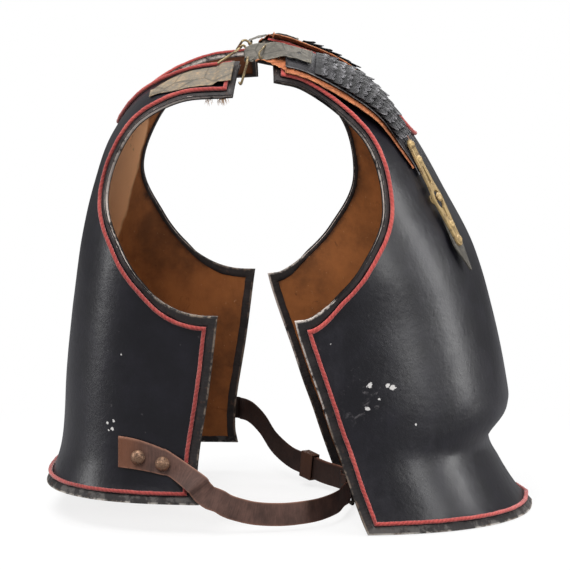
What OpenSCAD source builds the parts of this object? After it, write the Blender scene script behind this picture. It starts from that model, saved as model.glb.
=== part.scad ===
// Cuirass: a breast plate and a back plate, with scaled straps at the shoulders and a belt round the waist.
// X points to the wearer's front, Y to the wearer's left and Z up. Z = 0 is the surface that it stands on.
// Right and left are the wearer's. All sizes are in millimetres.

/* [Plates] */
// Width of the breast plate at the chest
breast_w = 344; // [320:2:370]
// Width of the back plate at the shoulder blades
back_w = 344; // [320:2:370]
// Height of both plates from the hem to the shoulders
plate_h = 430; // [400:5:460]
// Depth of the breast plate from its side edges to the ridge
breast_d = 176; // [160:2:190]
// Depth of the back plate from its side edges to the middle
back_d = 143; // [130:1:156]
// Thickness of the iron
plate_t = 1.6; // [1:0.1:2.4]
// Thickness of the leather lining
lining_t = 1.2; // [0.8:0.1:1.8]
// Turn of the breast plate about the vertical, from square to the wearer
breast_yaw = 4.8; // [0:0.2:5]
// Turn of the back plate about the vertical, from square to the wearer
back_yaw = -4.8; // [-5:0.2:0]
// Height of the back plate's hem above the surface
back_lift = 29; // [26:1:32]

/* [Edges] */
// Width of the leather binding on each face
binding_w = 7; // [5:0.5:9]
// Thickness of the binding leather
binding_t = 1.2; // [0.8:0.1:1.6]
// Diameter of the wool piping cord
piping_d = 3.8; // [3:0.2:4.6]

/* [Shoulder straps] */
// Distance of each strap from the middle at the shoulder
strap_y = 88; // [86:1:90]
// Distance of each strap's lower end from the middle
hook_y = 85; // [84:1:86]
// Width of the padding at the shoulder
padding_w = 46; // [40:1:48]
// Thickness of the padding leather
padding_t = 2.6; // [1.8:0.1:3.2]
// Width of the black strap leather at the shoulder
leather_w = 40; // [36:1:42]
// Thickness of the strap leather
leather_t = 2.2; // [1.6:0.1:2.6]
// Width of a scale row at the shoulder
scale_w = 36; // [30:1:38]
// Distance from one scale row to the next
scale_pitch = 8.4; // [7.6:0.2:9.6]
// Thickness of a scale
scale_t = 0.6; // [0.4:0.1:0.8]
// Width of the grey billets and tabs at the shoulder joint
billet_w = 26; // [22:1:28]
// Thickness of the grey leather
billet_t = 2.4; // [1.8:0.1:2.8]

/* [Hooks and studs] */
// Length of the brass hook plate
hook_l = 108; // [100:1:114]
// Thickness of the hook plate
hook_t = 2; // [1.6:0.1:2.4]
// Radius of the round eye
eye_r = 7.2; // [6.8:0.1:7.4]
// Radius of the stud's head
stud_r = 4.3; // [3.8:0.1:4.5]
// Radius of the small rivet heads
hook_rivet_r = 4.2; // [3.6:0.1:4.6]
// Radius of the wire in the shoulder clips
wire_r = 1.1; // [0.9:0.1:1.3]

/* [Belt] */
// Width of the belt
belt_w = 21; // [20:1:24]
// Thickness of the belt leather
belt_t = 2.6; // [2:0.1:3]
// Radius of the rivets that fix the belt to the back plate
belt_rivet_r = 6.6; // [5.6:0.1:7.2]
// Radius of the buckle's bars
buckle_r = 1.6; // [1.3:0.1:1.8]

/* [Hidden] */
$fn = 48;

RIGHT = -1;
LEFT = 1;
COLUMNS = 9;
PROBE_T = 0.02;
PROBE_PHI = 0.5;
// Clearance between leather that lies on a plate and the plate
seat_gap = 0.3;
// Clearance between the plate's edge and the binding's web, which the flat facets cross
edge_gap = 0.6;
// Clearance between the lining and the iron
lining_gap = 0.2;
// Clearances between the binding's lips and the faces under them, which the flat facets cross
lip_gap = 0.8;
lap_gap = 0.6;
// Depth by which the breast plate's binding is worn flat where it stands
worn_flat = 0.7;
stack_t = plate_t + lining_gap + lining_t;

// A plate is a stack of level stations, one for each whole step of t from the hem to the shoulder's end.
// Each station is [middle x, middle z, side x, side z, half width, squareness of its superellipse].
BREAST_X = 30.5;
BACK_X = -61.5;
BREAST_DRAWN = [[190, 0, 26, 0, 166, 2.2], [176, 15, 20, 15, 162, 2.2], [160, 40, 11, 40, 159, 2.2],
    [150, 64, 3, 64, 158, 2.2], [167, 89, -6, 89, 160, 2.1], [166, 117, -15, 117, 163, 2.1],
    [153, 178, -39, 191, 168, 2.1], [135, 238, -42, 238, 172, 2.1], [108, 290, -42, 286, 170, 2.1],
    [76, 345, -42, 320, 162, 2.2], [33, 396, -28, 318, 142, 2.4], [-20, 420, -42, 338, 138, 2.6],
    [-50, 428, -56, 343, 138, 2.6]];
BACK_DRAWN = [[-160, 0, -6, 0, 170, 2.6], [-152, 16, -8, 16, 165, 2.6], [-145, 46, -6, 46, 162, 2.7],
    [-141, 106, 3, 103, 164, 2.8], [-134, 166, 11, 167, 168, 2.9], [-125, 226, 18, 216, 172, 3.0],
    [-113, 276, 13, 256, 170, 3.0], [-97, 319, -22, 280, 160, 2.9], [-67, 358, -46, 287, 147, 2.8],
    [-24, 382, -33, 284, 140, 2.8], [20, 390, 12, 278, 140, 2.8]];
// Half widths of the armhole's edge at the same stations
BREAST_ARM = [166, 162, 159, 158, 160, 163, 168, 162, 143, 130, 120, 115, 115];
BACK_ARM = [170, 165, 162, 164, 168, 153, 125, 125, 122, 115, 115];
// Sizes for which the stations were drawn
DRAWN_W = 344;
DRAWN_H = 430;
DRAWN_BREAST_D = 176;
DRAWN_BACK_D = 143;
// Ridge that runs down the middle of the breast plate: its height and its spread to each side
RIDGE_H = 3;
RIDGE_SPREAD = 18;

function scaled(rows, kx, ky, kz) =
    [for (r = rows) [r[0] * kx, r[1] * kz, r[2] * kx, r[3] * kz, r[4] * ky, r[5]]];

// Stations at which the armhole begins and at which the neck begins
BREAST_CORNER = 6;
BACK_CORNER = 4;
BREAST_NECK = 9;
BACK_NECK = 7.2;
// Half width of the neck, the steps of t in which it opens, and how much it widens with each step of t
NECK_HALF = 62;
NECK_RUN = 2;
NECK_SPREAD = 2;

// A plate is [stations, armhole half widths, corner t, neck t, neck half width, yaw, origin, facing,
// ridge height]
BREAST = [scaled(BREAST_DRAWN, breast_d / DRAWN_BREAST_D, breast_w / DRAWN_W, plate_h / DRAWN_H),
    BREAST_ARM * (breast_w / DRAWN_W), BREAST_CORNER, BREAST_NECK, NECK_HALF, breast_yaw,
    [BREAST_X, 0, edge_gap + binding_t - worn_flat], 1, RIDGE_H];
BACK = [scaled(BACK_DRAWN, back_d / DRAWN_BACK_D, back_w / DRAWN_W, plate_h / DRAWN_H),
    BACK_ARM * (back_w / DRAWN_W), BACK_CORNER, BACK_NECK, NECK_HALF, back_yaw, [BACK_X, 0, back_lift], -1, 0];
BREAST_ROWS = [0, 0.4, 0.8, 1.3, 2, 2.7, 3.3, 4, 4.7, 5.4, 6,
    6.02, 6.07, 6.16, 6.3, 6.5, 6.75, 7, 7.5, 8, 8.5];
BACK_ROWS = [0, 0.4, 0.8, 1.3, 2, 3, 4,
    4.006, 4.025, 4.06, 4.12, 4.22, 4.36, 4.55, 4.8, 5.1, 5.4, 5.7, 6.2, 6.7];
NECK_STEPS = 7;
// Columns stand closer together towards a plate's edge, where it curves most
COLUMN_POWER = 1.4;
function column_at(j) = 1 - pow(1 - j / COLUMNS, COLUMN_POWER);

function unit(v) = v / norm(v);
function flat(list) = [for (a = list) for (b = a) b];
function mix(a, b, f) = a + (b - a) * f;
function spline(a, b, c, d, f) =
    0.5 * (2 * b + (c - a) * f + (2 * a - 5 * b + 4 * c - d) * f * f + (3 * b - a - 3 * c + d) * f * f * f);
function along(rows, t) =
    let (last = len(rows) - 1, i = max(0, min(floor(t), last - 1)), b = rows[i], c = rows[i + 1])
    spline(i > 0 ? rows[i - 1] : 2 * b - c, b, c, i < last - 1 ? rows[i + 2] : 2 * c - b, t - i);
function top_t(p) = len(p[0]) - 1;

// Angle phi round a station: 0 in the middle and 90 at the side line, negative on the right
function phi_at(p, t, y) =
    let (s = along(p[0], t), r = min(1, abs(y) / s[4]))
    sign(y) * atan2(r, pow(max(0, 1 - pow(r, s[5])), 1 / s[5]));
function neck_half(p, t) =
    t <= p[3] ? 0
    : let (q = min(1, (t - p[3]) / NECK_RUN)) p[4] * sqrt(1 - (1 - q) * (1 - q)) + NECK_SPREAD * (t - p[3]);
function edge_phi(p, t) = t <= p[2] ? 90 : phi_at(p, t, min(along(p[0], t)[4], along(p[1], t)));
function neck_phi(p, t) = phi_at(p, t, neck_half(p, t));

// Point of a plate's outer face, and the normal that points away from the wearer
function face_point(p, t, phi) =
    let (s = along(p[0], t), n = s[5], a = abs(phi),
         q = pow(pow(sin(a), n) + pow(abs(cos(a)), n), 1 / n),
         f = cos(a) / q, y = sign(phi) * s[4] * sin(a) / q,
         x = mix(s[2], s[0], f) + p[8] * exp(-abs(y) / RIDGE_SPREAD), z = mix(s[3], s[1], f),
         c = cos(p[5]), w = sin(p[5]))
    p[6] + [c * x - w * y, w * x + c * y, z];
function slope_t(p, t, phi) =
    let (a = max(0, t - PROBE_T), b = min(top_t(p), t + PROBE_T))
    (face_point(p, b, phi) - face_point(p, a, phi)) / (b - a);
function slope_phi(p, t, phi) =
    (face_point(p, t, phi + PROBE_PHI) - face_point(p, t, phi - PROBE_PHI)) / (2 * PROBE_PHI);
function face_normal(p, t, phi) = p[7] * unit(cross(slope_phi(p, t, phi), slope_t(p, t, phi)));
// The way in which thickness is added: the normal, but level at the hem, so that the hem's edge is flat
HEM_RUN = 0.8;
function outward(p, t, phi) = let (n = face_normal(p, t, phi)) unit([n[0], n[1], n[2] * min(1, t / HEM_RUN)]);
function above(p, t, phi, h) = face_point(p, t, phi) + h * outward(p, t, phi);

function rows_of(p, rows) =
    concat(rows, [for (k = [0:NECK_STEPS]) p[3] + (top_t(p) - p[3]) * pow(k / NECK_STEPS, 1.5)]);

// Six times the volume that the faces close, negative when they turn clockwise seen from outside
function turn_of(points, faces) =
    [for (f = faces) points[f[0]] * cross(points[f[1]], points[f[2]])] * [for (f = faces) 1];
module closed_mesh(points, faces) {
    clockwise = turn_of(points, faces) < 0;
    polyhedron(points, !clockwise ? [for (f = faces) [f[2], f[1], f[0]]] : faces);
}
function quad(a, b, c, d) = [[a, b, c], [a, c, d]];

// A shell that follows a plate between two heights above its outer face
module shell(p, body_rows, outer_h, inner_h) {
    ts = rows_of(p, body_rows);
    last = len(ts) - 1;
    neck = len(body_rows);
    count = (last + 1) * (2 * COLUMNS + 1) + last - neck;
    function start(i) = i * (2 * COLUMNS + 1) + max(0, i - neck - 1);
    function at(i, s, j) = start(i) + (s < 0 ? COLUMNS - j : COLUMNS + j + (i > neck ? 1 : 0));
    function column(t, s, j, h) =
        let (a = neck_phi(p, t), b = edge_phi(p, t)) above(p, t, s * mix(a, b, column_at(j)), h);
    function face(h) = flat([for (i = [0:last]) concat(
        [for (j = [COLUMNS:-1:0]) column(ts[i], RIGHT, j, h)],
        [for (j = [(i > neck ? 0 : 1):COLUMNS]) column(ts[i], LEFT, j, h)])]);
    function skin(s, shift, turned) = flat([for (i = [0:last - 1]) for (j = [0:COLUMNS - 1])
        let (a = at(i, s, j) + shift, b = at(i, s, j + 1) + shift,
             c = at(i + 1, s, j + 1) + shift, d = at(i + 1, s, j) + shift)
        turned ? quad(a, d, c, b) : quad(a, b, c, d)]);
    function rim(s) = concat([for (j = [0:COLUMNS]) at(0, s, j)], [for (i = [1:last]) at(i, s, COLUMNS)],
        [for (j = [COLUMNS - 1:-1:0]) at(last, s, j)], [for (i = [last - 1:-1:neck]) at(i, s, 0)]);
    function walls(line, turned) = flat([for (k = [0:len(line) - 2])
        let (a = line[k], b = line[k + 1])
        turned ? quad(a, b, b + count, a + count) : quad(b, a, a + count, b + count)]);
    closed_mesh(concat(face(outer_h), face(inner_h)),
        concat(skin(LEFT, 0, false), skin(RIGHT, 0, true), skin(LEFT, count, true), skin(RIGHT, count, false),
               walls(rim(LEFT), false), walls(rim(RIGHT), true)));
}

// The plate's whole outline as [t, phi]: hem, side and armhole, shoulder's end and neck, on both sides
function outline(p, body_rows) =
    let (ts = rows_of(p, body_rows), last = len(ts) - 1, neck = len(body_rows), top = ts[last],
         left = concat([for (j = [0:COLUMNS]) [0, mix(0, edge_phi(p, 0), column_at(j))]],
             [for (i = [1:last]) [ts[i], edge_phi(p, ts[i])]],
             [for (j = [COLUMNS - 1:-1:0]) [top, mix(neck_phi(p, top), edge_phi(p, top), column_at(j))]],
             [for (i = [last - 1:-1:neck]) [ts[i], neck_phi(p, ts[i])]]),
         n = len(left))
    concat(left, [for (k = [n - 2:-1:1]) [left[k][0], -left[k][1]]]);

// Point at a distance inside the outline, along the face, and at a height above the face
function inside(p, line, k, inset, h) =
    let (n = len(line), t = line[k][0], phi = line[k][1],
         here = face_point(p, t, phi), back = line[(k + n - 1) % n], next = line[(k + 1) % n],
         e1 = unit(here - face_point(p, back[0], back[1])), e2 = unit(face_point(p, next[0], next[1]) - here),
         run = unit(e1 + e2), up = outward(p, t, phi), in = p[7] * unit(cross(face_normal(p, t, phi), run)),
         step = inset / max(0.62, e1 * run) * in, st = slope_t(p, t, phi), sp = slope_phi(p, t, phi),
         a = st * st, b = st * sp, c = sp * sp, u = step * st, v = step * sp, det = a * c - b * b)
    inset <= 0 ? here + step + h * up
    : above(p, max(0, min(top_t(p), t + (c * u - b * v) / det)), phi + (a * v - b * u) / det, h);

// A skin through rings of points, closed on itself or capped at both ends
module skin(rings, loop = false) {
    n = len(rings);
    m = len(rings[0]);
    half = m / 2;
    sides = flat([for (i = [0:n - (loop ? 1 : 2)]) for (j = [0:m - 1])
        let (i2 = (i + 1) % n, j2 = (j + 1) % m) quad(i * m + j, i * m + j2, i2 * m + j2, i2 * m + j)]);
    end = (n - 1) * m;
    caps = loop ? [] : flat([for (j = [0:half - 2])
        concat(quad(m - 1 - j, m - 2 - j, j + 1, j),
               quad(end + j, end + j + 1, end + m - 2 - j, end + m - 1 - j))]);
    closed_mesh(flat(rings), concat(sides, caps));
}
// Round the armhole, shoulder and neck the binding and the piping lie closer to the edge than on the sides
// and the hem
NARROWER = 4.4;
NARROWING_RUN = 0.5;
function closer(p, t) = let (f = max(0, min(1, (t - p[2]) / NARROWING_RUN))) NARROWER * f * f * (3 - 2 * f);
module edge_sweep(p, body_rows, section) {
    line = outline(p, body_rows);
    skin([for (k = [0:len(line) - 1])
        [for (c = section) inside(p, line, k, c[0] > 0 ? c[0] - closer(p, line[k][0]) : c[0], c[1])]], true);
}

// Binding: a C that holds the edges of iron and lining. Its inner side is [inset, height].
web = -edge_gap - binding_t;
BINDING_SECTION = [[binding_w, lap_gap], [-edge_gap, lap_gap], [-edge_gap, -stack_t - lip_gap],
    [binding_w, -stack_t - lip_gap], [binding_w, -stack_t - lip_gap - binding_t],
    [-edge_gap - binding_t / 2, -stack_t - lip_gap - binding_t], [web, -stack_t],
    [web, 0], [-edge_gap - binding_t / 2, lap_gap + binding_t], [binding_w, lap_gap + binding_t]];
piping_r = piping_d / 2;
piping_in = binding_w + piping_r + 2 * seat_gap;
piping_top = piping_d + seat_gap;
PIPING_SECTION = [for (a = [0:60:300]) [piping_in + piping_r * cos(a), seat_gap + piping_r * (1 + sin(a))]];

// Place children at a point with the given directions for their x, y and z
module placed(at, ex, ey, ez) {
    multmatrix([[ex[0], ey[0], ez[0], at[0]], [ex[1], ey[1], ez[1], at[1]], [ex[2], ey[2], ez[2], at[2]],
                [0, 0, 0, 1]])
        children();
}
// A rectangular ring of points: a row across at the lower height, then back across at the upper one
function band(columns, at) =
    concat([for (j = [0:columns]) at(2 * j / columns - 1, 0)],
           [for (j = [columns:-1:0]) at(2 * j / columns - 1, 1)]);

// Route of a shoulder strap down the breast plate, from its station at the shoulder to the one at the hook
STRAP_T0 = 11.75;
STRAP_T1 = 8.55;
function strap_mid(t) =
    let (f = max(0, min(1, (10 - t) / 1.3))) mix(strap_y, hook_y, f * f * (3 - 2 * f));
function narrowing(t, full, least) =
    let (f = max(0, min(1, (10.2 - t) / 1.6))) mix(full, least, f * f);
// Height of the strap's underside: over the piping at the shoulder, down to the iron below it
function strap_bed(t) =
    let (f = max(0, min(1, (9.9 - t) / 1.1))) mix(piping_top + seat_gap, 0.7, f * f * (3 - 2 * f));
function on_strap(s, t, across, h) =
    above(BREAST, t, phi_at(BREAST, t, s * (strap_mid(t) + across)), strap_bed(t) + h);
// Thickness of the padding, which thins out under the hook plate
PAD_THIN = 0.3;
function pad_at(t) = padding_t * mix(PAD_THIN, 1, max(0, min(1, (t - 8.95) / 0.45)));
function leather_at(t) = pad_at(t) + seat_gap;
function scale_at(t) = leather_at(t) + leather_t + seat_gap;

// A layer of a strap between two stations: its width goes from full to least, its height is low(t) to high(t)
module strap_band(s, t0, t1, steps, columns, full, least, low, high) {
    skin([for (i = [0:steps]) let (t = mix(t0, t1, i / steps), half = narrowing(t, full, least) / 2)
        band(columns, function (v, k) on_strap(s, t, v * half, k > 0 ? high(t) : low(t)))]);
}

// Scale rows, counted down from the shoulder. Each row's lower end rides on the row below it.
SCALE_T0 = 10.9;
SCALE_T1 = 9.08;
scale_run = norm(on_strap(LEFT, SCALE_T0, 0, 0) - on_strap(LEFT, 10.1, 0, 0))
    + norm(on_strap(LEFT, 10.1, 0, 0) - on_strap(LEFT, SCALE_T1, 0, 0));
SCALE_ROWS = floor(scale_run / scale_pitch);
scale_dt = (SCALE_T0 - SCALE_T1) / SCALE_ROWS;
SCALE_LAP = 1.45;
scale_rise = (scale_t + 0.25) * SCALE_LAP;
module scale_row(s, i) {
    t0 = SCALE_T0 - i * scale_dt;
    t1 = t0 - scale_dt * SCALE_LAP;
    skin([for (k = [0:1]) let (t = mix(t0, t1, k), half = narrowing(t, scale_w, 20) / 2)
        band(4, function (v, up) on_strap(s, t, v * half, scale_at(t) + scale_rise * k + up * scale_t))]);
}

// Shoulder joint: an axis across both shoulders, with a wire pin on each side
hinge_x = -38;
HINGE_H = 391;
hinge_z = back_lift + HINGE_H * plate_h / DRAWN_H;
pin_gap = 0.25;
loop_r = wire_r + pin_gap + billet_t * 0.75;
PIN_IN = strap_y - billet_w / 2 - 15;
PIN_OUT = strap_y + billet_w / 2 + 4;

// Billet: a loop round the pin and a strip that runs forward over the strap, with a punched hole
BILLET_T1 = 11.0;
HOLE_T = 11.3;
HOLE_R = 1.8;
billet_h = scale_at(STRAP_T0);
function billet_first(s) = [hinge_x + 0.6, s * strap_y, hinge_z + loop_r - 0.8];
function billet_lead(s) = on_strap(s, STRAP_T0 + 0.1, 0, billet_h + billet_t / 2);
function billet_rise(s) = let (a = billet_first(s), b = billet_lead(s))
    [hinge_x + loop_r + 2, s * strap_y, mix(a[2], b[2], 0.45)];
module strap_billet(s) {
    y0 = s * strap_y;
    half = billet_w / 2;
    lead = billet_lead(s);
    rise = billet_rise(s);
    function strip(p, dir) = let (up = unit(cross(dir, [0, 1, 0])))
        band(3, function (v, k) p + [0, s * v * half, 0] + up * ((k - 0.5) * billet_t * 0.8));
    difference() {
        union() {
            translate([hinge_x, y0 - half, hinge_z]) rotate([-90, 0, 0]) cylinder(r = loop_r, h = billet_w);
            skin(concat([strip(billet_first(s), [1, 0, 0.4]), strip(rise, unit(lead - rise))],
                [for (i = [0:6]) let (t = mix(STRAP_T0 + 0.1, BILLET_T1, i / 6))
                    band(3, function (v, k) on_strap(s, t, v * half, billet_h + k * billet_t))]));
        }
        translate([hinge_x, y0 - half - 1, hinge_z])
            rotate([-90, 0, 0]) cylinder(r = wire_r + pin_gap, h = billet_w + 2);
        translate(on_strap(s, HOLE_T, 0, billet_h) - [0, 0, 6]) cylinder(r = HOLE_R, h = 14);
    }
}

// A bent wire as a tube along a list of points. Each ring's first direction comes from the one before.
TUBE_SIDES = 10;
function run_at(points, i) =
    let (n = len(points), a = i > 0 ? unit(points[i] - points[i - 1]) : [0, 0, 0],
         b = i < n - 1 ? unit(points[i + 1] - points[i]) : [0, 0, 0])
    unit(a + b);
function carried(points, i, start) =
    let (v = i > 0 ? carried(points, i - 1, start) : start, r = run_at(points, i)) unit(v - (v * r) * r);
module tube(points, r, start) {
    skin([for (i = [0:len(points) - 1])
        let (run = run_at(points, i), u = carried(points, i, start), v = cross(run, u))
        [for (k = [0:TUBE_SIDES - 1]) let (turn = k * 360 / TUBE_SIDES)
            points[i] + r * (cos(turn) * u + sin(turn) * v)]]);
}
// A pin's wire goes on from each of its ends as a tube that is a little thinner than the pin
TUBE_FIT = 0.97;

// Wire clip: the pin with its outer end turned up, and a bow that rises at its inner end and comes down on the
// tab
BOW = [[-0.3, 1.2], [-0.8, 3], [-2, 5.4], [-3.4, 7.4], [-5, 8.2], [-6.8, 7.4], [-8, 5.4]];
// How upright the bow stands: on the left it is pressed down over the pin
RIGHT_STANDS = 1;
LEFT_STANDS = 0.5;
FOOT_T = 9.66;
FOOT_IN = 9;
BEND = 1.2;
module wire_clip(s) {
    in = s * PIN_IN;
    out = s * PIN_OUT;
    stands = s == RIGHT ? RIGHT_STANDS : LEFT_STANDS;
    foot = above(BACK, FOOT_T, phi_at(BACK, FOOT_T, s * (strap_y - FOOT_IN)),
                 tab_top(FOOT_T) + wire_r + 2 * seat_gap);
    translate([hinge_x, min(in, out), hinge_z]) rotate([-90, 0, 0]) cylinder(r = wire_r, h = PIN_OUT - PIN_IN);
    tube(concat([for (y = [s * BEND, 0]) [hinge_x, in + y, hinge_z], [hinge_x, in - s * BEND, hinge_z + 0.2]],
        [for (b = BOW) [hinge_x + b[0], in - s * 2 * BEND, hinge_z + b[1] * stands]], [foot]),
        wire_r * TUBE_FIT, [1, 0, 0]);
    tube([[hinge_x, out - s * BEND, hinge_z], [hinge_x, out, hinge_z],
          [hinge_x, out + s * BEND, hinge_z + 0.3],
          [hinge_x, out + s * 2 * BEND, hinge_z + 1.3], [hinge_x, out + s * 2.4 * BEND, hinge_z + 4]],
         wire_r * TUBE_FIT, [1, 0, 0]);
}
// Wire keeper: a ring of wire round the billet where it crosses from one shoulder to the other
KEEPER_AT = 0.34;
keeper_wire_r = wire_r * 0.8;
KEEPER_LOOSE = 1.2;
module wire_keeper(s) {
    half = billet_w / 2 + keeper_wire_r + KEEPER_LOOSE;
    lift = billet_t / 2 + keeper_wire_r + KEEPER_LOOSE;
    lead = billet_lead(s);
    rise = billet_rise(s);
    run = unit(lead - rise);
    across = s * (on_strap(s, STRAP_T0, 1, 0) - on_strap(s, STRAP_T0, -1, 0)) / 2 + [0, 1, 0];
    side = unit(across - (across * run) * run);
    placed(mix(rise, lead, KEEPER_AT), side, cross(run, side), run)
        skin([for (c = [[-1, -1, 0], [1, -1, 0], [1, -1, 1], [1, 1, 1],
                        [1, 1, 0], [-1, 1, 0], [-1, 1, 1], [-1, -1, 1]])
            let (at = [c[0] * (half + c[2] * keeper_wire_r), c[1] * (lift + (1 - c[2]) * keeper_wire_r), 0],
                 out = unit([c[0] * (0.4 + c[2]), c[1] * (1.4 - c[2]), 0]))
            [for (k = [0:7]) at + keeper_wire_r * (cos(k * 45) * out + sin(k * 45) * [0, 0, 1])]], true);
}

// Back tab: grey leather on the back plate's shoulder, between its pipings and over the end's piping
TAB_ROWS = [8.25, 8.45, 8.65, 8.9, 9.15, 9.4, 9.55, 9.66, 9.74, 9.8, 9.9, 10];
TAB_SHIFT = 2;
TAB_RISE_T = 9.58;
TAB_RISE = 0.18;
TAB_THIN = 0.7;
tab_half = billet_w / 2 - 1.2;
function tab_over(t) = let (f = max(0, min(1, (t - TAB_RISE_T) / TAB_RISE))) f * f * (3 - 2 * f);
function tab_bed(t) = mix(seat_gap, piping_top + seat_gap, tab_over(t));
function tab_top(t) = tab_bed(t) + billet_t - TAB_THIN * tab_over(t);
module back_tab(s) {
    skin([for (i = [0:len(TAB_ROWS) - 1]) let (t = TAB_ROWS[i], half = tab_half * min(1, 0.5 + i * 0.25))
        band(3, function (v, k) above(BACK, t, phi_at(BACK, t, s * (strap_y + TAB_SHIFT + v * half)),
                                      k > 0 ? tab_top(t) : tab_bed(t)))]);
}

// Frame of a hook plate: the breast plate is almost flat along it, so the plate lies in one plane
HOOK_T = 8;
HOOK_TOP_T = 8.86;
HOOK_TIP_T = 7.2;
function hook_spot(s, t) = face_point(BREAST, t, phi_at(BREAST, t, s * hook_y));
module on_hook(s) {
    up = face_normal(BREAST, HOOK_T, phi_at(BREAST, HOOK_T, s * hook_y));
    side = unit(cross(up, hook_spot(s, HOOK_TIP_T) - hook_spot(s, HOOK_TOP_T)));
    placed(hook_spot(s, HOOK_T), cross(side, up), side, up) children();
}
pull_t = 1.6;
hook_h = strap_bed(HOOK_T) + scale_at(HOOK_T) + 0.1;
pull_h = hook_h - pull_t - 0.2;
HOOK_BACK = 0.55;
hook_x0 = -hook_l * HOOK_BACK;
hook_x1 = hook_l * (1 - HOOK_BACK);
EYE_SHIFT = 3.5;
RIVETS_X = [hook_x0 + 6, hook_x0 + 21, hook_x1 - 21, hook_x1 - 6];
module hook_outline() {
    difference() {
        union() {
            hull() {
                translate([hook_x0 + 6, 0]) circle(r = 5.4);
                translate([hook_x0 + 21, 0]) circle(r = 6.6);
            }
            hull() {
                translate([hook_x0 + 21, 0]) circle(r = 6.6);
                translate([-14, 0]) circle(r = 7.6);
            }
            hull() {
                translate([-14, 0]) circle(r = 7.6);
                circle(r = eye_r + 3.4);
                translate([EYE_SHIFT, 0]) circle(r = eye_r + 3.4);
                translate([hook_x1 - 21, 0]) circle(r = 7.4);
            }
            hull() {
                translate([hook_x1 - 21, 0]) circle(r = 7.4);
                translate([hook_x1 - 6, 0]) circle(r = 6);
            }
        }
        hull() {
            circle(r = eye_r);
            translate([EYE_SHIFT, 0]) circle(r = eye_r);
        }
        hull() {
            translate([EYE_SHIFT + eye_r, 0]) circle(r = 2);
            translate([hook_x1 - 30, 0]) circle(r = 1.6);
        }
        hull() {
            translate([hook_x0 + 29, 0]) circle(r = 1.4);
            translate([-16, 0]) circle(r = 2.6);
        }
        for (x = RIVETS_X) translate([x, 0]) circle(r = rivet_hole_r);
    }
}
rivet_shank_r = 1.8;
rivet_hole_r = rivet_shank_r + 0.1;
module pull_outline() {
    difference() {
        hull() {
            translate([hook_x1 - 27, 0]) circle(r = 6);
            translate([hook_x1 - 4, 0]) circle(r = 11);
            translate([hook_x1 + 23, 0]) circle(r = 1.5);
        }
        for (x = [RIVETS_X[2], RIVETS_X[3]]) translate([x, 0]) circle(r = rivet_hole_r);
    }
}
module dome(r, h) {
    intersection() {
        ball = (r * r + h * h) / (2 * h);
        translate([0, 0, h - ball]) sphere(r = ball);
        cylinder(r = r + 1, h = h + 1);
    }
}
module hook_rivets(s) {
    on_hook(s) for (i = [0:3]) {
        depth = i < 2 ? leather_t + 0.4 : pull_t + 0.4;
        translate([RIVETS_X[i], 0, hook_h]) {
            translate([0, 0, hook_t + 0.05]) dome(hook_rivet_r, hook_rivet_r * 0.62);
            translate([0, 0, -depth]) cylinder(r = rivet_shank_r, h = depth + hook_t + 0.1);
        }
    }
}
module stud(s) {
    neck_top = hook_h + hook_t + 0.4;
    on_hook(s) {
        translate([0, 0, 0.1]) cylinder(r = 4.6, h = 1);
        cylinder(r = 2.3, h = neck_top + 0.1);
        translate([0, 0, neck_top]) cylinder(r = stud_r, h = 0.8);
        translate([0, 0, neck_top + 0.8]) dome(stud_r, 2.2);
    }
}

// Belt: its route is a list of points along the middle of its width. The right half ends over the left one.
// The route spreads with the back plate, but not at the buckle in the middle.
buckle_z = belt_w / 2 + 4.7;
MIDDLE_X = 53;
MIDDLE_Y = 50;
function spread(rows) =
    [for (r = rows) [r[0], r[1] * (abs(r[1]) > MIDDLE_Y ? back_w / DRAWN_W : 1), r[2]]];
FAR_ROUTE = spread([[-65.5, 171.5, 60], [-54, 176, 61], [-41, 163, 59], [-28.7, 148, 49.5], [-17, 131, 34.5],
    [-2, 112, 24], [12, 92, 20.5], [28, 71, 16.5], [42.5, 52, 15], [MIDDLE_X - 0.4, 30, buckle_z],
    [MIDDLE_X, 14, buckle_z]]);
LAYER = belt_t + 0.5;
function over(i) = let (run = FAR_ROUTE[i + 1] - FAR_ROUTE[i - 1])
    FAR_ROUTE[i] + LAYER * unit([-run[1], run[0], 0]);
NEAR_ROUTE = concat(spread([[-92.5, -170, 60], [-83, -175.7, 49], [-73, -175, 37.5], [-63, -168.5, 32],
    [-53, -162, 25.2], [-32, -154.5, 18.4], [-9, -148, 16], [11, -138.5, 16], [28, -118.5, 15.8],
    [43, -87, 16.4], [49.2, -53.5, 16.6], [MIDDLE_X + 0.3, -30, buckle_z], [MIDDLE_X + 2, -12, buckle_z],
    [MIDDLE_X + LAYER, 8, buckle_z]]),
    [for (i = [9:-1:6]) over(i)], [mix(over(6), over(5), 0.35)]);
ROUTE_STEPS = 3;
function route(points) =
    [for (i = [0:(len(points) - 1) * ROUTE_STEPS]) along(points, i / ROUTE_STEPS)];
function ring_on(path, i, section) =
    let (n = len(path), a = path[max(0, i - 1)], b = path[min(n - 1, i + 1)], run = unit(b - a),
         wide = unit([0, 0, 1] - run[2] * run), out = cross(run, wide))
    [for (c = section) path[i] + out * c[0] + wide * c[1]];
function strap_section(t, w) =
    [[-t / 2, -w / 2], [-t / 2, 0], [-t / 2, w / 2], [t / 2, w / 2], [t / 2, 0], [t / 2, -w / 2]];
module belt_run(points, straight = []) {
    path = concat(route(points), straight);
    skin([for (i = [0:len(path) - 1]) ring_on(path, i, strap_section(belt_t, belt_w))]);
}
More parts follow.
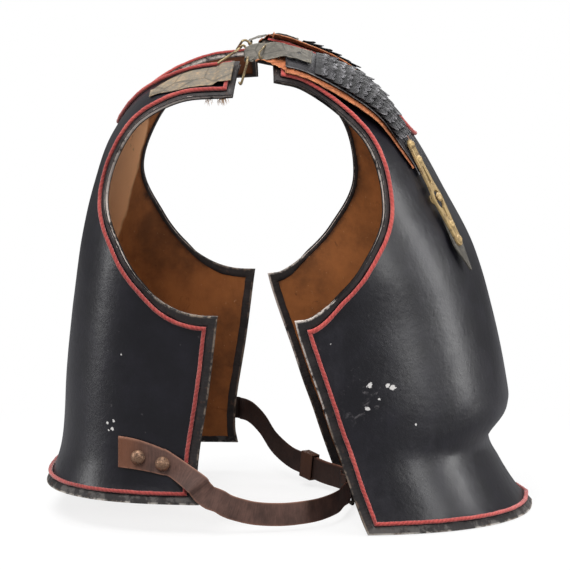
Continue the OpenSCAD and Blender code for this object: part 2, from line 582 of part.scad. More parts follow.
// Round end of a belt half, centred on the line that it swings about, a little smaller than the belt all round
END_LESS = 0.15;
module belt_end(route) {
    run = unit(route[1] - route[0]);
    wide = unit([0, 0, 1] - run[2] * run);
    placed(route[0], run, wide, cross(run, wide)) difference() {
        translate([0, 0, END_LESS - belt_t / 2])
            cylinder(r = belt_w / 2 - END_LESS, h = belt_t - 2 * END_LESS);
        translate([1, -belt_w, -belt_t]) cube([belt_w, 2 * belt_w, 2 * belt_t]);
    }
}

// Buckle: its heel bar is held in the fold of the left half, and the right half passes behind its tip bar
heel = [MIDDLE_X - belt_t / 2 - buckle_r - 0.2, 8, buckle_z];
tip = [MIDDLE_X + 1.3 + belt_t / 2 + buckle_r, -22, buckle_z];
bar_half = belt_w / 2 + buckle_r + 0.6;
CORNER = 2.2;
module belt_buckle_frame() {
    along_bar = [0, 0, bar_half];
    side = unit(tip - heel);
    translate(heel - along_bar - [0, 0, buckle_r]) cylinder(r = buckle_r, h = 2 * (bar_half + buckle_r));
    c = [0, 0, CORNER];
    tube([heel + along_bar, tip + along_bar - side * CORNER, tip + along_bar - (side * CORNER + c) * 0.3,
          tip + along_bar - c, tip - along_bar + c, tip - along_bar - (side * CORNER - c) * 0.3,
          tip - along_bar - side * CORNER, heel - along_bar], buckle_r * TUBE_FIT, [side[1], -side[0], 0]);
}
prong_r = 1.2;
module prong() {
    hole_r = buckle_r + 0.2;
    eye_t = 2 * prong_r;
    rest = tip + [buckle_r + prong_r + 0.25, -2, 0];
    difference() {
        translate(heel - [0, 0, eye_t / 2]) cylinder(r = hole_r + prong_r * 1.6, h = eye_t);
        translate(heel - [0, 0, eye_t]) cylinder(r = hole_r, h = 2 * eye_t);
    }
    reach = hole_r + prong_r;
    tube([heel + [reach * 0.5, -reach * 0.87, 0], heel + [reach * 0.62 + 2, -reach - 3, 0],
          rest + [0, 6, 0], rest],
         prong_r * TUBE_FIT, [0, 0, 1]);
}

// Belt anchors: the riveted ends of the belt on the back plate, as places along its local x
ANCHOR_X0 = -78;
ANCHOR_X1 = -30;
ANCHOR_RIVETS = [-59.5, -37.5];
// Its middle line sinks towards the side edge, with the square of the way
ANCHOR_T = 1.88;
ANCHOR_DROP = 0.25;
function anchor_t(x) = ANCHOR_T - ANCHOR_DROP * pow((x - ANCHOR_X0) / (ANCHOR_X1 - ANCHOR_X0), 2);
function phi_x(p, t, x) =
    let (s = along(p[0], t), f = (x - s[2]) / (s[0] - s[2])) atan2(pow(1 - pow(f, s[5]), 1 / s[5]), f);
function anchor_point(s, x, t, h) = above(BACK, t, s * phi_x(BACK, t, x), h);
belt_dt = belt_w / 2 / (BACK[0][2][1] - BACK[0][1][1]);
module on_anchor(s, x) {
    t = anchor_t(x);
    up = face_normal(BACK, t, s * phi_x(BACK, t, x));
    side = unit(cross([0, 0, 1], up));
    placed(anchor_point(s, x, t, seat_gap), side, cross(up, side), up) children();
}
module belt_anchor(s) {
    difference() {
        skin([for (i = [0:8]) let (x = mix(ANCHOR_X0, ANCHOR_X1, i / 8))
            band(2, function (v, k)
                anchor_point(s, x, anchor_t(x) + v * belt_dt, seat_gap + 0.1 + k * belt_t))]);
        for (x = ANCHOR_RIVETS) on_anchor(s, x) translate([0, 0, -2]) cylinder(r = rivet_hole_r, h = 10);
    }
}
module belt_rivets(s) {
    for (x = ANCHOR_RIVETS) on_anchor(s, x) {
        translate([0, 0, 0.1]) cylinder(r = rivet_shank_r, h = belt_t + 0.9);
        translate([0, 0, belt_t + 0.7]) dome(belt_rivet_r, belt_rivet_r * 0.6);
    }
}
// Keeper: a leather loop round both layers of the belt, on its straight stretch
keeper_w = 17;
keeper_t = 1.4;
KEEPER_STEP = 0.22;
module belt_keeper_loop() {
    a = FAR_ROUTE[6];
    b = FAR_ROUTE[7];
    run = unit(b - a);
    wide = unit([0, 0, 1] - run[2] * run);
    out = -cross(run, wide);
    mid = mix(a, b, KEEPER_STEP) + out * (LAYER / 2);
    placed(mid, out, wide, cross(out, wide)) difference() {
        cube([2 * belt_t + 1.4 + 2 * keeper_t, belt_w + 1 + 2 * keeper_t, keeper_w], center = true);
        cube([2 * belt_t + 1.4, belt_w + 1, keeper_w + 2], center = true);
    }
}
// Slots for the prong: their height, and where the right half's slot ends beside the buckle's tip bar
PRONG_SLOT = 4;
SLOT_SHORT = 9;
SLOT_DEEP = 24;
module right_belt_leather() {
    difference() {
        union() {
            belt_run(NEAR_ROUTE);
            belt_end(NEAR_ROUTE);
        }
        translate([heel[0] - SLOT_DEEP / 2, tip[1] + SLOT_SHORT, buckle_z - PRONG_SLOT / 2])
            cube([SLOT_DEEP, heel[1] - tip[1] - SLOT_SHORT, PRONG_SLOT]);
    }
}
module left_belt_leather() {
    fold_r = buckle_r + 0.2;
    difference() {
        union() {
            belt_run(FAR_ROUTE, [for (y = [heel[1] + 3, heel[1]]) [MIDDLE_X, y, buckle_z]]);
            belt_end(FAR_ROUTE);
            translate(heel - [0, 0, belt_w / 2]) difference() {
                cylinder(r = fold_r + belt_t, h = belt_w);
                translate([0, 0, -1]) cylinder(r = fold_r, h = belt_w + 2);
                translate([-20, 0, -1]) cube([40, 20, belt_w + 2]);
            }
            translate([heel[0] - fold_r - belt_t, heel[1], heel[2] - belt_w / 2]) cube([belt_t, 20, belt_w]);
        }
        translate(heel + [-5, -12, -PRONG_SLOT / 2]) cube([16, 16.6, PRONG_SLOT]);
    }
}

module back_plate() {
    color("#1a1a1f") shell(BACK, BACK_ROWS, 0, -plate_t);
}
module breast_plate() {
    color("#1a1a1f") shell(BREAST, BREAST_ROWS, 0, -plate_t);
}
module back_lining() {
    color("#8a4a1e") shell(BACK, BACK_ROWS, -plate_t - lining_gap, -stack_t);
}
module breast_lining() {
    color("#8a4a1e") shell(BREAST, BREAST_ROWS, -plate_t - lining_gap, -stack_t);
}
module back_binding() {
    color("#2b2522") edge_sweep(BACK, BACK_ROWS, BINDING_SECTION);
}
module breast_binding() {
    color("#2b2522") difference() {
        edge_sweep(BREAST, BREAST_ROWS, BINDING_SECTION);
        translate([-plate_h, -plate_h, -plate_h]) cube([2 * plate_h, 2 * plate_h, plate_h]);
    }
}
module back_piping() {
    color("#c8434a") edge_sweep(BACK, BACK_ROWS, PIPING_SECTION);
}
module breast_piping() {
    color("#c8434a") edge_sweep(BREAST, BREAST_ROWS, PIPING_SECTION);
}

module back_tab_leather(s) {
    color("#6e6a60") back_tab(s);
}
module clip_wire(s) {
    color("#a8946a") wire_clip(s);
}
module anchor_leather(s) {
    color("#4a2c22") belt_anchor(s);
}
module anchor_rivets(s) {
    color("#a87850") belt_rivets(s);
}
module brass_stud(s) {
    color("#b08a4c") stud(s);
}
module strap_padding(s) {
    color("#b5562f") strap_band(s, STRAP_T0, STRAP_T1, 16, 6, padding_w, 26,
                                function (t) 0, function (t) pad_at(t));
}
module strap_leather(s) {
    color("#26252a") difference() {
        strap_band(s, STRAP_T0, 8.42, 16, 4, leather_w, 16,
                   function (t) leather_at(t), function (t) leather_at(t) + leather_t);
        on_hook(s) for (i = [0, 1]) translate([RIVETS_X[i], 0, -1]) cylinder(r = rivet_hole_r, h = hook_h + 4);
    }
}
module strap_scales(s) {
    color("#3c3a40") for (i = [0:SCALE_ROWS - 1]) scale_row(s, i);
}
module billet(s) {
    color("#6e6a60") strap_billet(s);
}
module hook_plate(s) {
    color("#a98d55") on_hook(s) translate([0, 0, hook_h]) linear_extrude(height = hook_t) hook_outline();
}
module brass_rivets(s) {
    color("#b08a4c") hook_rivets(s);
}
module pull_tab(s) {
    color("#6e6a60") on_hook(s) translate([0, 0, pull_h]) linear_extrude(height = pull_t) pull_outline();
}
module keeper_wire(s) {
    color("#a8946a") wire_keeper(s);
}
module right_belt() {
    color("#4a2c22") right_belt_leather();
}
module left_belt() {
    color("#4a2c22") left_belt_leather();
}
module belt_buckle() {
    color("#8a8078") belt_buckle_frame();
}
module belt_prong() {
    color("#8a8078") prong();
}
module belt_keeper() {
    color("#4a2c22") belt_keeper_loop();
}

back_plate();
back_lining();
back_binding();
back_piping();
breast_plate();
breast_lining();
breast_binding();
breast_piping();
back_tab_leather(RIGHT);  // right_back_tab
back_tab_leather(LEFT);  // left_back_tab
clip_wire(RIGHT);  // right_wire_clip
clip_wire(LEFT);  // left_wire_clip
anchor_leather(RIGHT);  // right_belt_anchor
anchor_leather(LEFT);  // left_belt_anchor
anchor_rivets(RIGHT);  // right_belt_rivets
anchor_rivets(LEFT);  // left_belt_rivets
brass_stud(RIGHT);  // right_stud
brass_stud(LEFT);  // left_stud
strap_padding(RIGHT);  // right_strap_padding
strap_leather(RIGHT);  // right_strap_leather
strap_scales(RIGHT);  // right_strap_scales
billet(RIGHT);  // right_strap_billet
hook_plate(RIGHT);  // right_hook_plate
brass_rivets(RIGHT);  // right_hook_rivets
pull_tab(RIGHT);  // right_pull_tab
strap_padding(LEFT);  // left_strap_padding
strap_leather(LEFT);  // left_strap_leather
strap_scales(LEFT);  // left_strap_scales
billet(LEFT);  // left_strap_billet
hook_plate(LEFT);  // left_hook_plate
brass_rivets(LEFT);  // left_hook_rivets
pull_tab(LEFT);  // left_pull_tab
keeper_wire(RIGHT);  // right_wire_keeper
right_belt();
left_belt();
belt_buckle();
belt_prong();
belt_keeper();
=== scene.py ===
"""Looks of a cuirass: black iron plates with leather linings, bindings and red piping, scaled straps and a belt.

+X is the wearer's front, +Y the wearer's left and +Z up. Shapes are worked out in millimetres and stored in metres.
"""

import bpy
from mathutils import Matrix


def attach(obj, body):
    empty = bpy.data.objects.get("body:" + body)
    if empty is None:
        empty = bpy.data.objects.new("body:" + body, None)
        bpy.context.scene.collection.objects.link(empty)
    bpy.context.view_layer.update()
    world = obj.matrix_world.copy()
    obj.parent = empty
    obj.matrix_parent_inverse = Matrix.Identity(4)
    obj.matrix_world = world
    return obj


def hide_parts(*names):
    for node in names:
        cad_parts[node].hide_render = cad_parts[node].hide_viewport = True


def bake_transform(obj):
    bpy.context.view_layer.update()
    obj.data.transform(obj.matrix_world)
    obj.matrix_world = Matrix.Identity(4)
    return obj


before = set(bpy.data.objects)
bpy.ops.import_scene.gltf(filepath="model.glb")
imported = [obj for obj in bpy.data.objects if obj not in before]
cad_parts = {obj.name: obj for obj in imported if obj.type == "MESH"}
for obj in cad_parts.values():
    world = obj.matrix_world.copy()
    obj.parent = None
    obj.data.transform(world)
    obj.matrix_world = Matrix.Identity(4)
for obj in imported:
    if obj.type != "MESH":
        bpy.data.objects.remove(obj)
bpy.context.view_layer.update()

import math

import bmesh
import bpy
import numpy as np
from bpy.props import FloatProperty, FloatVectorProperty, PointerProperty
from mathutils import Vector

bl_info = {
    "name": "Cuirass",
    "version": (1, 0, 0),
    "blender": (4, 5, 0),
    "location": "3D View > Sidebar > Cuirass",
    "description": "Builds the visible pieces of a cuirass on its CAD frame",
    "category": "Object",
}

MM = 0.001
SIDES = (("right", -1), ("left", 1))


# User sizes and colours

def colour(name, text, default):
    return FloatVectorProperty(name=name, description=text, subtype="COLOR", size=3, min=0, max=1, default=default)


def length(name, text, default):
    return FloatProperty(name=name, description=text, subtype="DISTANCE", unit="LENGTH", default=default * MM,
                         min=0, soft_max=default * 4 * MM)


class CUIRASS_PG_colours(bpy.types.PropertyGroup):
    """Colours of the cuirass, before wear"""
    lacquer: colour("Lacquer", "Black lacquer on the iron", (0.0048, 0.0043, 0.0072))
    lining: colour("Lining", "Orange-brown leather inside the plates", (0.27, 0.095, 0.026))
    lining_pale: colour("Pale lining", "Lining where light and wear have paled it", (1.0, 0.54, 0.27))
    binding: colour("Binding", "Black leather round the edges", (0.016, 0.013, 0.013))
    wool: colour("Piping", "Red wool of the piping", (0.52, 0.082, 0.072))
    grey_hide: colour("Grey leather", "Dry grey leather of tabs and billets", (0.17, 0.155, 0.13))
    padding: colour("Padding", "Orange leather under the straps", (0.58, 0.185, 0.072))
    strap: colour("Strap", "Black leather of the straps", (0.014, 0.013, 0.015))
    scale: colour("Scales", "Blackened metal of the scales", (0.017, 0.016, 0.019))
    brass: colour("Brass", "Aged brass of hook plates and studs", (0.52, 0.37, 0.17))
    wire: colour("Wire", "Dull brass wire", (0.40, 0.31, 0.17))
    copper: colour("Copper", "Rivets of the belt", (0.40, 0.24, 0.155))
    belt: colour("Belt", "Reddish-brown belt leather", (0.14, 0.072, 0.055))
    steel: colour("Buckle", "Dark buckle", (0.10, 0.09, 0.08))


class CUIRASS_PG_sizes(bpy.types.PropertyGroup):
    """Sizes of the details that the frame leaves to the looks"""
    dent: length("Dents", "Depth of the hammered unevenness of the plates", 0.35)
    edge_wander: length("Edge wander", "How far the hand-cut edges of the leather wander", 0.45)
    crease: length("Creases", "Height of the creases in the leather bindings", 0.35)
    fibre: length("Fibres", "Length of the frayed fibres", 6.0)


# Materials

class Value:
    """A value in a material. Arithmetic on it adds Math nodes; colours and vectors go through Finish.mix and node."""

    def __init__(self, finish, socket):
        self.finish, self.socket = finish, socket

    def math(self, operation, *others):
        return self.finish.node("ShaderNodeMath", {"operation": operation}, (self, *others))

    def __add__(self, other):
        return self.math("ADD", other)

    def __sub__(self, other):
        return self.math("SUBTRACT", other)

    def __rsub__(self, other):
        return self.finish.node("ShaderNodeMath", {"operation": "SUBTRACT"}, (other, self))

    def __mul__(self, other):
        return self.math("MULTIPLY", other)

    __radd__ = __add__
    __rmul__ = __mul__

    def step(self, low, high):
        """0 below low and 1 above high, eased in between; turned round where low is above high."""
        return self.finish.node("ShaderNodeMapRange", {"interpolation_type": "SMOOTHSTEP"}, (self, low, high, 0, 1))


class Finish:
    """A material of nodes round one Principled shader."""

    def __init__(self, name):
        self.material = bpy.data.materials.new(name)
        self.material.use_nodes = True
        self.tree = self.material.node_tree
        self.shader = self.tree.nodes["Principled BSDF"]
        self.place = self.tree.nodes.new("ShaderNodeTexCoord").outputs["Object"]

    def node(self, kind, settings=None, inputs=(), output=0):
        """Adds a node: its settings first, then its inputs by number or name, and gives one output."""
        made = self.tree.nodes.new(kind)
        for key, value in (settings or {}).items():
            setattr(made, key, value)
        for key, value in inputs.items() if isinstance(inputs, dict) else enumerate(inputs):
            self.connect(made.inputs[key], value)
        return Value(self, made.outputs[output])

    def connect(self, socket, value):
        """Links a value to a socket, or sets a number or colour on it."""
        if isinstance(value, Value):
            value = value.socket
        if isinstance(value, bpy.types.NodeSocket):
            self.tree.links.new(value, socket)
        elif socket.type == "RGBA" and len(value) == 3:
            socket.default_value = (*value, 1)
        else:
            socket.default_value = value

    def mix(self, low, high, factor):
        """Colour that goes from low to high as factor goes from 0 to 1."""
        return self.node("ShaderNodeMix", {"data_type": "RGBA"}, {0: factor, 6: low, 7: high}, 2)

    def coats(self, tone, *coats):
        """A colour with coats over it, each given by its colour and where it covers, from 0 to 1."""
        for shade, cover in coats:
            tone = self.mix(tone, shade, cover)
        return tone

    def noise(self, size, detail=3, rough=0.55, at=None, distort=0.0, stretch=None):
        """Noise from 0 to 1 whose features are about size millimetres across, stretched along the axes."""
        at = at or self.place
        if stretch:
            at = self.node("ShaderNodeMapping", {}, {"Vector": at, "Scale": stretch})
        return self.node("ShaderNodeTexNoise", {}, {"Vector": at, "Scale": 1 / (size * MM), "Detail": detail,
                                                    "Roughness": rough, "Distortion": distort})

    def cells(self, size, feature="F1"):
        """Distance in a pattern of cells about size millimetres across."""
        return self.node("ShaderNodeTexVoronoi", {"feature": feature},
                         {"Vector": self.place, "Scale": 1 / (size * MM)})

    def attribute(self, name):
        """A number that the mesh stores at each vertex."""
        return self.node("ShaderNodeAttribute", {"attribute_name": name}, output=2)

    def axis(self, index, at=None):
        """One coordinate of the place on the piece, in metres."""
        return self.node("ShaderNodeSeparateXYZ", {}, (at or self.place,), index)

    def along(self):
        """The piece's UV, which runs along it and round it in metres."""
        return self.node("ShaderNodeUVMap", {"uv_map": "along"})

    def away(self, centre, place=None):
        """Distance from a point, whose coordinates are in millimetres."""
        return self.node("ShaderNodeVectorMath", {"operation": "DISTANCE"},
                         (place or self.place, [c * MM for c in centre]), 1)

    def near(self, centre, radius):
        """1 within half a radius of a point, both in millimetres, fading out to the radius."""
        return self.away(centre).step(radius * MM, radius * MM / 2)

    def bump(self, height, depth, strength=1.0):
        """Normal of a height map whose full height is depth millimetres."""
        return self.node("ShaderNodeBump", {}, {"Height": height, "Distance": depth * MM, "Strength": strength})

    def surface(self, **sockets):
        """Sets the shader's sockets, with underscores for the spaces in their names, and gives the material."""
        for key, value in sockets.items():
            self.connect(self.shader.inputs[key.replace("_", " ")], value)
        return self.material


def tint(shade, factor):
    """A colour times a factor."""
    return tuple(min(1.0, c * factor) for c in shade)


def spots(f, places, ragged):
    """1 at small spots on the right side, each given by its x, z and radius in millimetres, with ragged edges."""
    flat = f.node("ShaderNodeVectorMath", {"operation": "MULTIPLY"}, (f.place, (1, 0, 1)))
    total = 0
    for x, z, r in places:
        total = (f.away((x, 0, z), flat) + ragged).step(r * 1.1 * MM, r * 0.8 * MM) + total
    return total * f.axis(1).step(-0.05, -0.1)


# Chips in the lacquer: x, z and radius
CHIPS = ((71, 134, 2.4), (87, 133, 1.8), (91.5, 131, 2.6), (69, 113, 2.0), (80, 121, 0.9), (-163, 97, 1.2),
         (-157, 99, 1.1), (-158.5, 92, 1.5), (-161, 90, 1.0), (36, 172, 0.9), (112, 96, 1.1), (-150, 160, 0.7))
# Scuffed places on the lacquer: centre and radius
SCUFFS = (((66, -157, 118), 26), ((60, -158, 150), 14))


def lacquer_finish(palette):
    """Black lacquer with rubbed streaks, scuffs and chips, worn brown along the edges."""
    f = Finish("black_lacquer")
    rim = f.attribute("rim")
    broad = f.noise(90, 2, 0.5)
    cloud = f.noise(28, 5, 0.62)
    grit = f.noise(2.2, 4, 0.6)
    speck = f.noise(5.5, 3, 0.5)
    pits = f.cells(9)
    worn_edge = rim.step(4.5, 0.5) * f.noise(9, 3, 0.6).step(0.42, 0.62)
    chips = spots(f, CHIPS, (f.noise(2.6, 3, 0.6) - 0.5) * 0.005)
    scuffed = f.near(*SCUFFS[0]) + f.near(*SCUFFS[1])
    scuff = f.noise(11, 6, 0.75, distort=1.5).step(0.54, 0.68) * scuffed
    rubs = f.noise(60, 6, 0.72, stretch=(1, 1, 0.35)).step(0.55, 0.75)
    scratches = f.noise(7, 4, 0.8, stretch=(1, 1, 0.2), distort=1.0).step(0.68, 0.74)
    dots = speck.step(0.74, 0.77)
    tone = f.coats(palette.lacquer, (tint(palette.lacquer, 2.0), cloud.step(0.35, 0.8)),
                   ((0.026, 0.024, 0.034), rubs * 0.35 + scratches * 0.3),
                   ((0.13, 0.12, 0.125), scuff * 0.7 + dots * 0.25),
                   ((0.10, 0.075, 0.06), worn_edge * 0.7),
                   ((0.70, 0.68, 0.66), chips))
    rough = 0.29 + cloud * 0.16 + rubs * 0.16 + scuff * 0.2 + chips * 0.3
    height = broad * 0.55 + cloud * 0.6 + speck * 0.16 + grit * 0.07
    height = height - pits.step(0.16, 0.02) * 0.05 - chips * 0.06
    return f.surface(Base_Color=tone, Roughness=rough, Normal=f.bump(height, 1.7, 0.6), Specular_IOR_Level=0.45,
                     Coat_Weight=0.1, Coat_Roughness=0.2)


def lining_finish(palette, name, pale_at):
    """Blotched orange-brown leather, nearly black by its edge. pale_at gives where it is pale, as 1."""
    f = Finish(name)
    rim = f.attribute("rim")
    cloud = f.noise(70, 5, 0.65)
    blotch = f.noise(24, 5, 0.7, distort=0.8)
    grain = f.noise(1.6, 3, 0.6)
    wrinkle = f.noise(16, 4, 0.6, stretch=(1, 1, 0.3), distort=1.2)
    pale = pale_at(f)
    tone = f.coats(tint(palette.lining, 0.55), (tint(palette.lining, 1.45), cloud.step(0.32, 0.68)),
                   (palette.lining_pale, pale * (0.68 + cloud * 0.4)),
                   (tint(palette.lining, 0.28), blotch.step(0.60, 0.74) * 0.75),
                   ((0.022, 0.013, 0.009), (rim + blotch * 14).step(15.5, 8.5) * 0.92),
                   (tint(palette.lining_pale, 1.15), f.noise(3, 2, 0.6).step(0.70, 0.76) * 0.25))
    height = grain * 0.25 + wrinkle * 0.9 + blotch * 0.3
    return f.surface(Base_Color=tone, Roughness=0.62 + cloud * 0.2, Normal=f.bump(height, 0.8, 0.6),
                     Specular_IOR_Level=0.3)


# Distance in metres from crease to crease of the bindings, and from turn to turn of the wool
CREASE_PITCH, TWIST_PITCH = 0.0031, 0.0042


def binding_finish(palette):
    """Creased black leather, worn brown at its folded edge and bare at the hem; pale along the armholes' edge, partly
    from wear and partly as a painted highlight.
    """
    f = Finish("binding_leather")
    grain = f.noise(1.2, 4, 0.6)
    patch = f.noise(26, 4, 0.7)
    fine = f.noise(5, 4, 0.65)
    edge = f.attribute("edge")
    wear = edge * (patch * 0.7 + fine * 0.6).step(0.58, 0.74)
    bare = f.attribute("hem") * (edge * 0.85 + 0.15) * f.noise(13, 4, 0.7).step(0.46, 0.58)
    tone = f.coats(palette.binding, (tint(palette.binding, 2.4), patch.step(0.4, 0.75)),
                   ((0.30, 0.235, 0.18), wear * 0.8),
                   ((0.50, 0.47, 0.43), bare * 0.85),
                   # Pale along the armholes' folded edge: partly wear, partly a painted highlight on the edge.
                   ((0.62, 0.55, 0.50), f.attribute("arm") * (patch * 0.6 + fine * 0.5).step(0.44, 0.56) * 0.9),
                   ((0.11, 0.055, 0.035), fine.step(0.58, 0.74) * 0.5))
    crease = (f.axis(0, f.along()) * (2 * math.pi / CREASE_PITCH) + patch * 9).math("SINE") * 0.5 + 0.5
    height = grain * 0.3 + fine * 0.6 + crease * 0.25
    return f.surface(Base_Color=tone, Roughness=0.5 + fine * 0.25, Normal=f.bump(height, 0.35, 0.7),
                     Specular_IOR_Level=0.4)


def wool_finish(name, wool):
    """Twisted wool, paler in patches and darker in the twist's grooves as painted shade, with dark knots and a soft
    sheen.
    """
    f = Finish(name)
    uv = f.along()
    run, across = f.axis(0, uv), f.axis(1, uv)
    patch = f.noise(34, 4, 0.65)
    fluff = f.noise(0.8, 4, 0.7)
    knots = f.noise(3.4, 3, 0.6)
    twist = ((run + across * 0.8) * (2 * math.pi / TWIST_PITCH) + knots * 7).math("SINE") * 0.5 + 0.5
    # The twist's share of the paler tone is painted shade in the twist's grooves; fluff and patch are random tone.
    tone = f.coats(tint(wool, 0.62), (tint(wool, 1.25), (twist * 0.16 + fluff * 0.5 + patch * 0.5).step(0.35, 0.85)),
                   ((0.62, 0.20, 0.15), patch.step(0.5, 0.8) * 0.35),
                   ((0.06, 0.014, 0.014), knots.step(0.66, 0.78) * 0.6))
    height = twist * 0.3 + fluff * 0.5 + knots * 0.6
    return f.surface(Base_Color=tone, Roughness=0.95, Normal=f.bump(height, 0.5, 0.9), Specular_IOR_Level=0.15,
                     Sheen_Weight=0.35, Sheen_Roughness=0.5)


def hide_finish(name, dark, light, worn, wear_from, rough=0.6, grain_size=1.0, crackle=9.0):
    """Leather whose colour runs from dark to light in clouds, with worn patches and pale rubbed edges."""
    f = Finish(name)
    patch = f.noise(22, 5, 0.68)
    fine = f.noise(4, 5, 0.7)
    grain = f.noise(grain_size, 3, 0.6)
    cracks = f.cells(crackle, "DISTANCE_TO_EDGE").step(0.0, 0.05)
    edge = f.attribute("edge")
    tone = f.coats(dark, (light, (patch * 0.6 + fine * 0.5).step(0.38, 0.78)),
                   (worn, fine.step(wear_from, wear_from + 0.14) * 0.6 + edge * patch.step(0.35, 0.6) * 0.55))
    tone = f.mix(tint(dark, 0.35), tone, 0.45 + cracks * 0.55)
    height = grain * 0.3 + fine * 0.7 + cracks * 0.25
    return f.surface(Base_Color=tone, Roughness=rough + fine * 0.2, Normal=f.bump(height, 0.5, 0.7),
                     Specular_IOR_Level=0.35)


def belt_finish(name, dark, light, edge_tone, end_tone):
    """Strap leather with fine grain across it, lighter in clouds, pale at its edges and reddish at its end."""
    f = Finish(name)
    uv = f.along()
    lines = f.noise(1.5, 4, 0.7, at=uv, stretch=(1, 0.12, 1))
    patch = f.noise(30, 4, 0.62)
    fine = f.noise(3, 4, 0.7)
    edge = f.attribute("edge")
    end = f.axis(0, uv).step(0.034, 0.006)
    tone = f.coats(dark, (light, (lines * 0.4 + patch * 0.7).step(0.35, 0.85)),
                   (end_tone, end * (0.45 + fine * 0.4)),
                   (edge_tone, edge * (patch * 0.5 + fine * 0.6).step(0.35, 0.62) * 0.75),
                   (tint(dark, 0.3), fine.step(0.64, 0.78) * 0.6))
    return f.surface(Base_Color=tone, Roughness=0.55 + fine * 0.2, Specular_IOR_Level=0.4,
                     Normal=f.bump(lines * 0.5 + fine * 0.5, 0.4, 0.6))


def brass_finish(name, bright, dark, amount=0.5, rough=0.3, metal=0.92):
    """Old metal: bright where rubbed, with brown patina in clouds."""
    f = Finish(name)
    patch = f.noise(7, 4, 0.65)
    fine = f.noise(1.4, 4, 0.65)
    mask = (patch * 0.7 + fine * 0.4).step(0.75 - amount * 0.5, 0.95 - amount * 0.5)
    tone = f.mix(bright, dark, mask)
    return f.surface(Base_Color=tone, Metallic=metal * (1 - mask * 0.5), Roughness=rough + mask * 0.3 + fine * 0.1,
                     Normal=f.bump(fine * 0.6 + patch * 0.8, 0.25, 0.7))


def scale_finish(palette):
    """Blackened metal, rubbed bright at the scales' tips, which also carries a painted highlight along their edges,
    with a little rust.
    """
    f = Finish("blackened_scales")
    tip = f.attribute("tip")
    patch = f.noise(9, 4, 0.65)
    fine = f.noise(1.3, 3, 0.65)
    # Pale at the scales' tips: rubbed metal, and a painted highlight along the lobes' free edges.
    rubbed_tips_and_highlight = tip.step(0.45, 0.9) * (patch * 0.4 + fine * 0.8).step(0.60, 0.70)
    tone = f.coats(tint(palette.scale, 0.7), (tint(palette.scale, 0.2), patch.step(0.38, 0.66)),
                   ((0.30, 0.29, 0.31), rubbed_tips_and_highlight * 0.7),
                   ((0.10, 0.05, 0.03), fine.step(0.66, 0.8) * 0.4))
    return f.surface(Base_Color=tone, Metallic=0.05 + rubbed_tips_and_highlight * 0.3, Roughness=0.6 - rubbed_tips_and_highlight * 0.15,
                     Normal=f.bump(fine * 0.6 + patch * 0.6, 0.3, 0.7))


# The surfaces of both plates

def catmull(rows, t):
    """Rows hold values at whole steps of t. Between two of them a Catmull-Rom cubic joins them:
    half of 2b + (c-a)f + (2a-5b+4c-d)f^2 + (3b-a-3c+d)f^3, where b and c are the rows on both sides of t."""
    rows = np.asarray(rows, float)
    last = len(rows) - 1
    i = np.clip(np.floor(t).astype(int), 0, last - 1)
    f = np.asarray(t - i, float)
    f = f.reshape(f.shape + (1,) * (rows.ndim - 1))
    padded = np.concatenate([2 * rows[:1] - rows[1:2], rows, 2 * rows[-1:] - rows[-2:-1]])
    a, b, c, d = (padded[i + k] for k in range(4))
    return 0.5 * (2 * b + (c - a) * f + (2 * a - 5 * b + 4 * c - d) * f ** 2 + (3 * b - a - 3 * c + d) * f ** 3)


def unit(v):
    """Vectors divided by their length."""
    return v / np.maximum(np.linalg.norm(v, axis=-1, keepdims=True), 1e-12)


def mix(a, b, f):
    """Goes straight from a to b as f goes from 0 to 1."""
    return a + (b - a) * f


def smooth(low, high, x):
    """0 below low, 1 above high and 3f^2 - 2f^3 in between."""
    f = np.clip((x - low) / (high - low), 0, 1)
    return f * f * (3 - 2 * f)


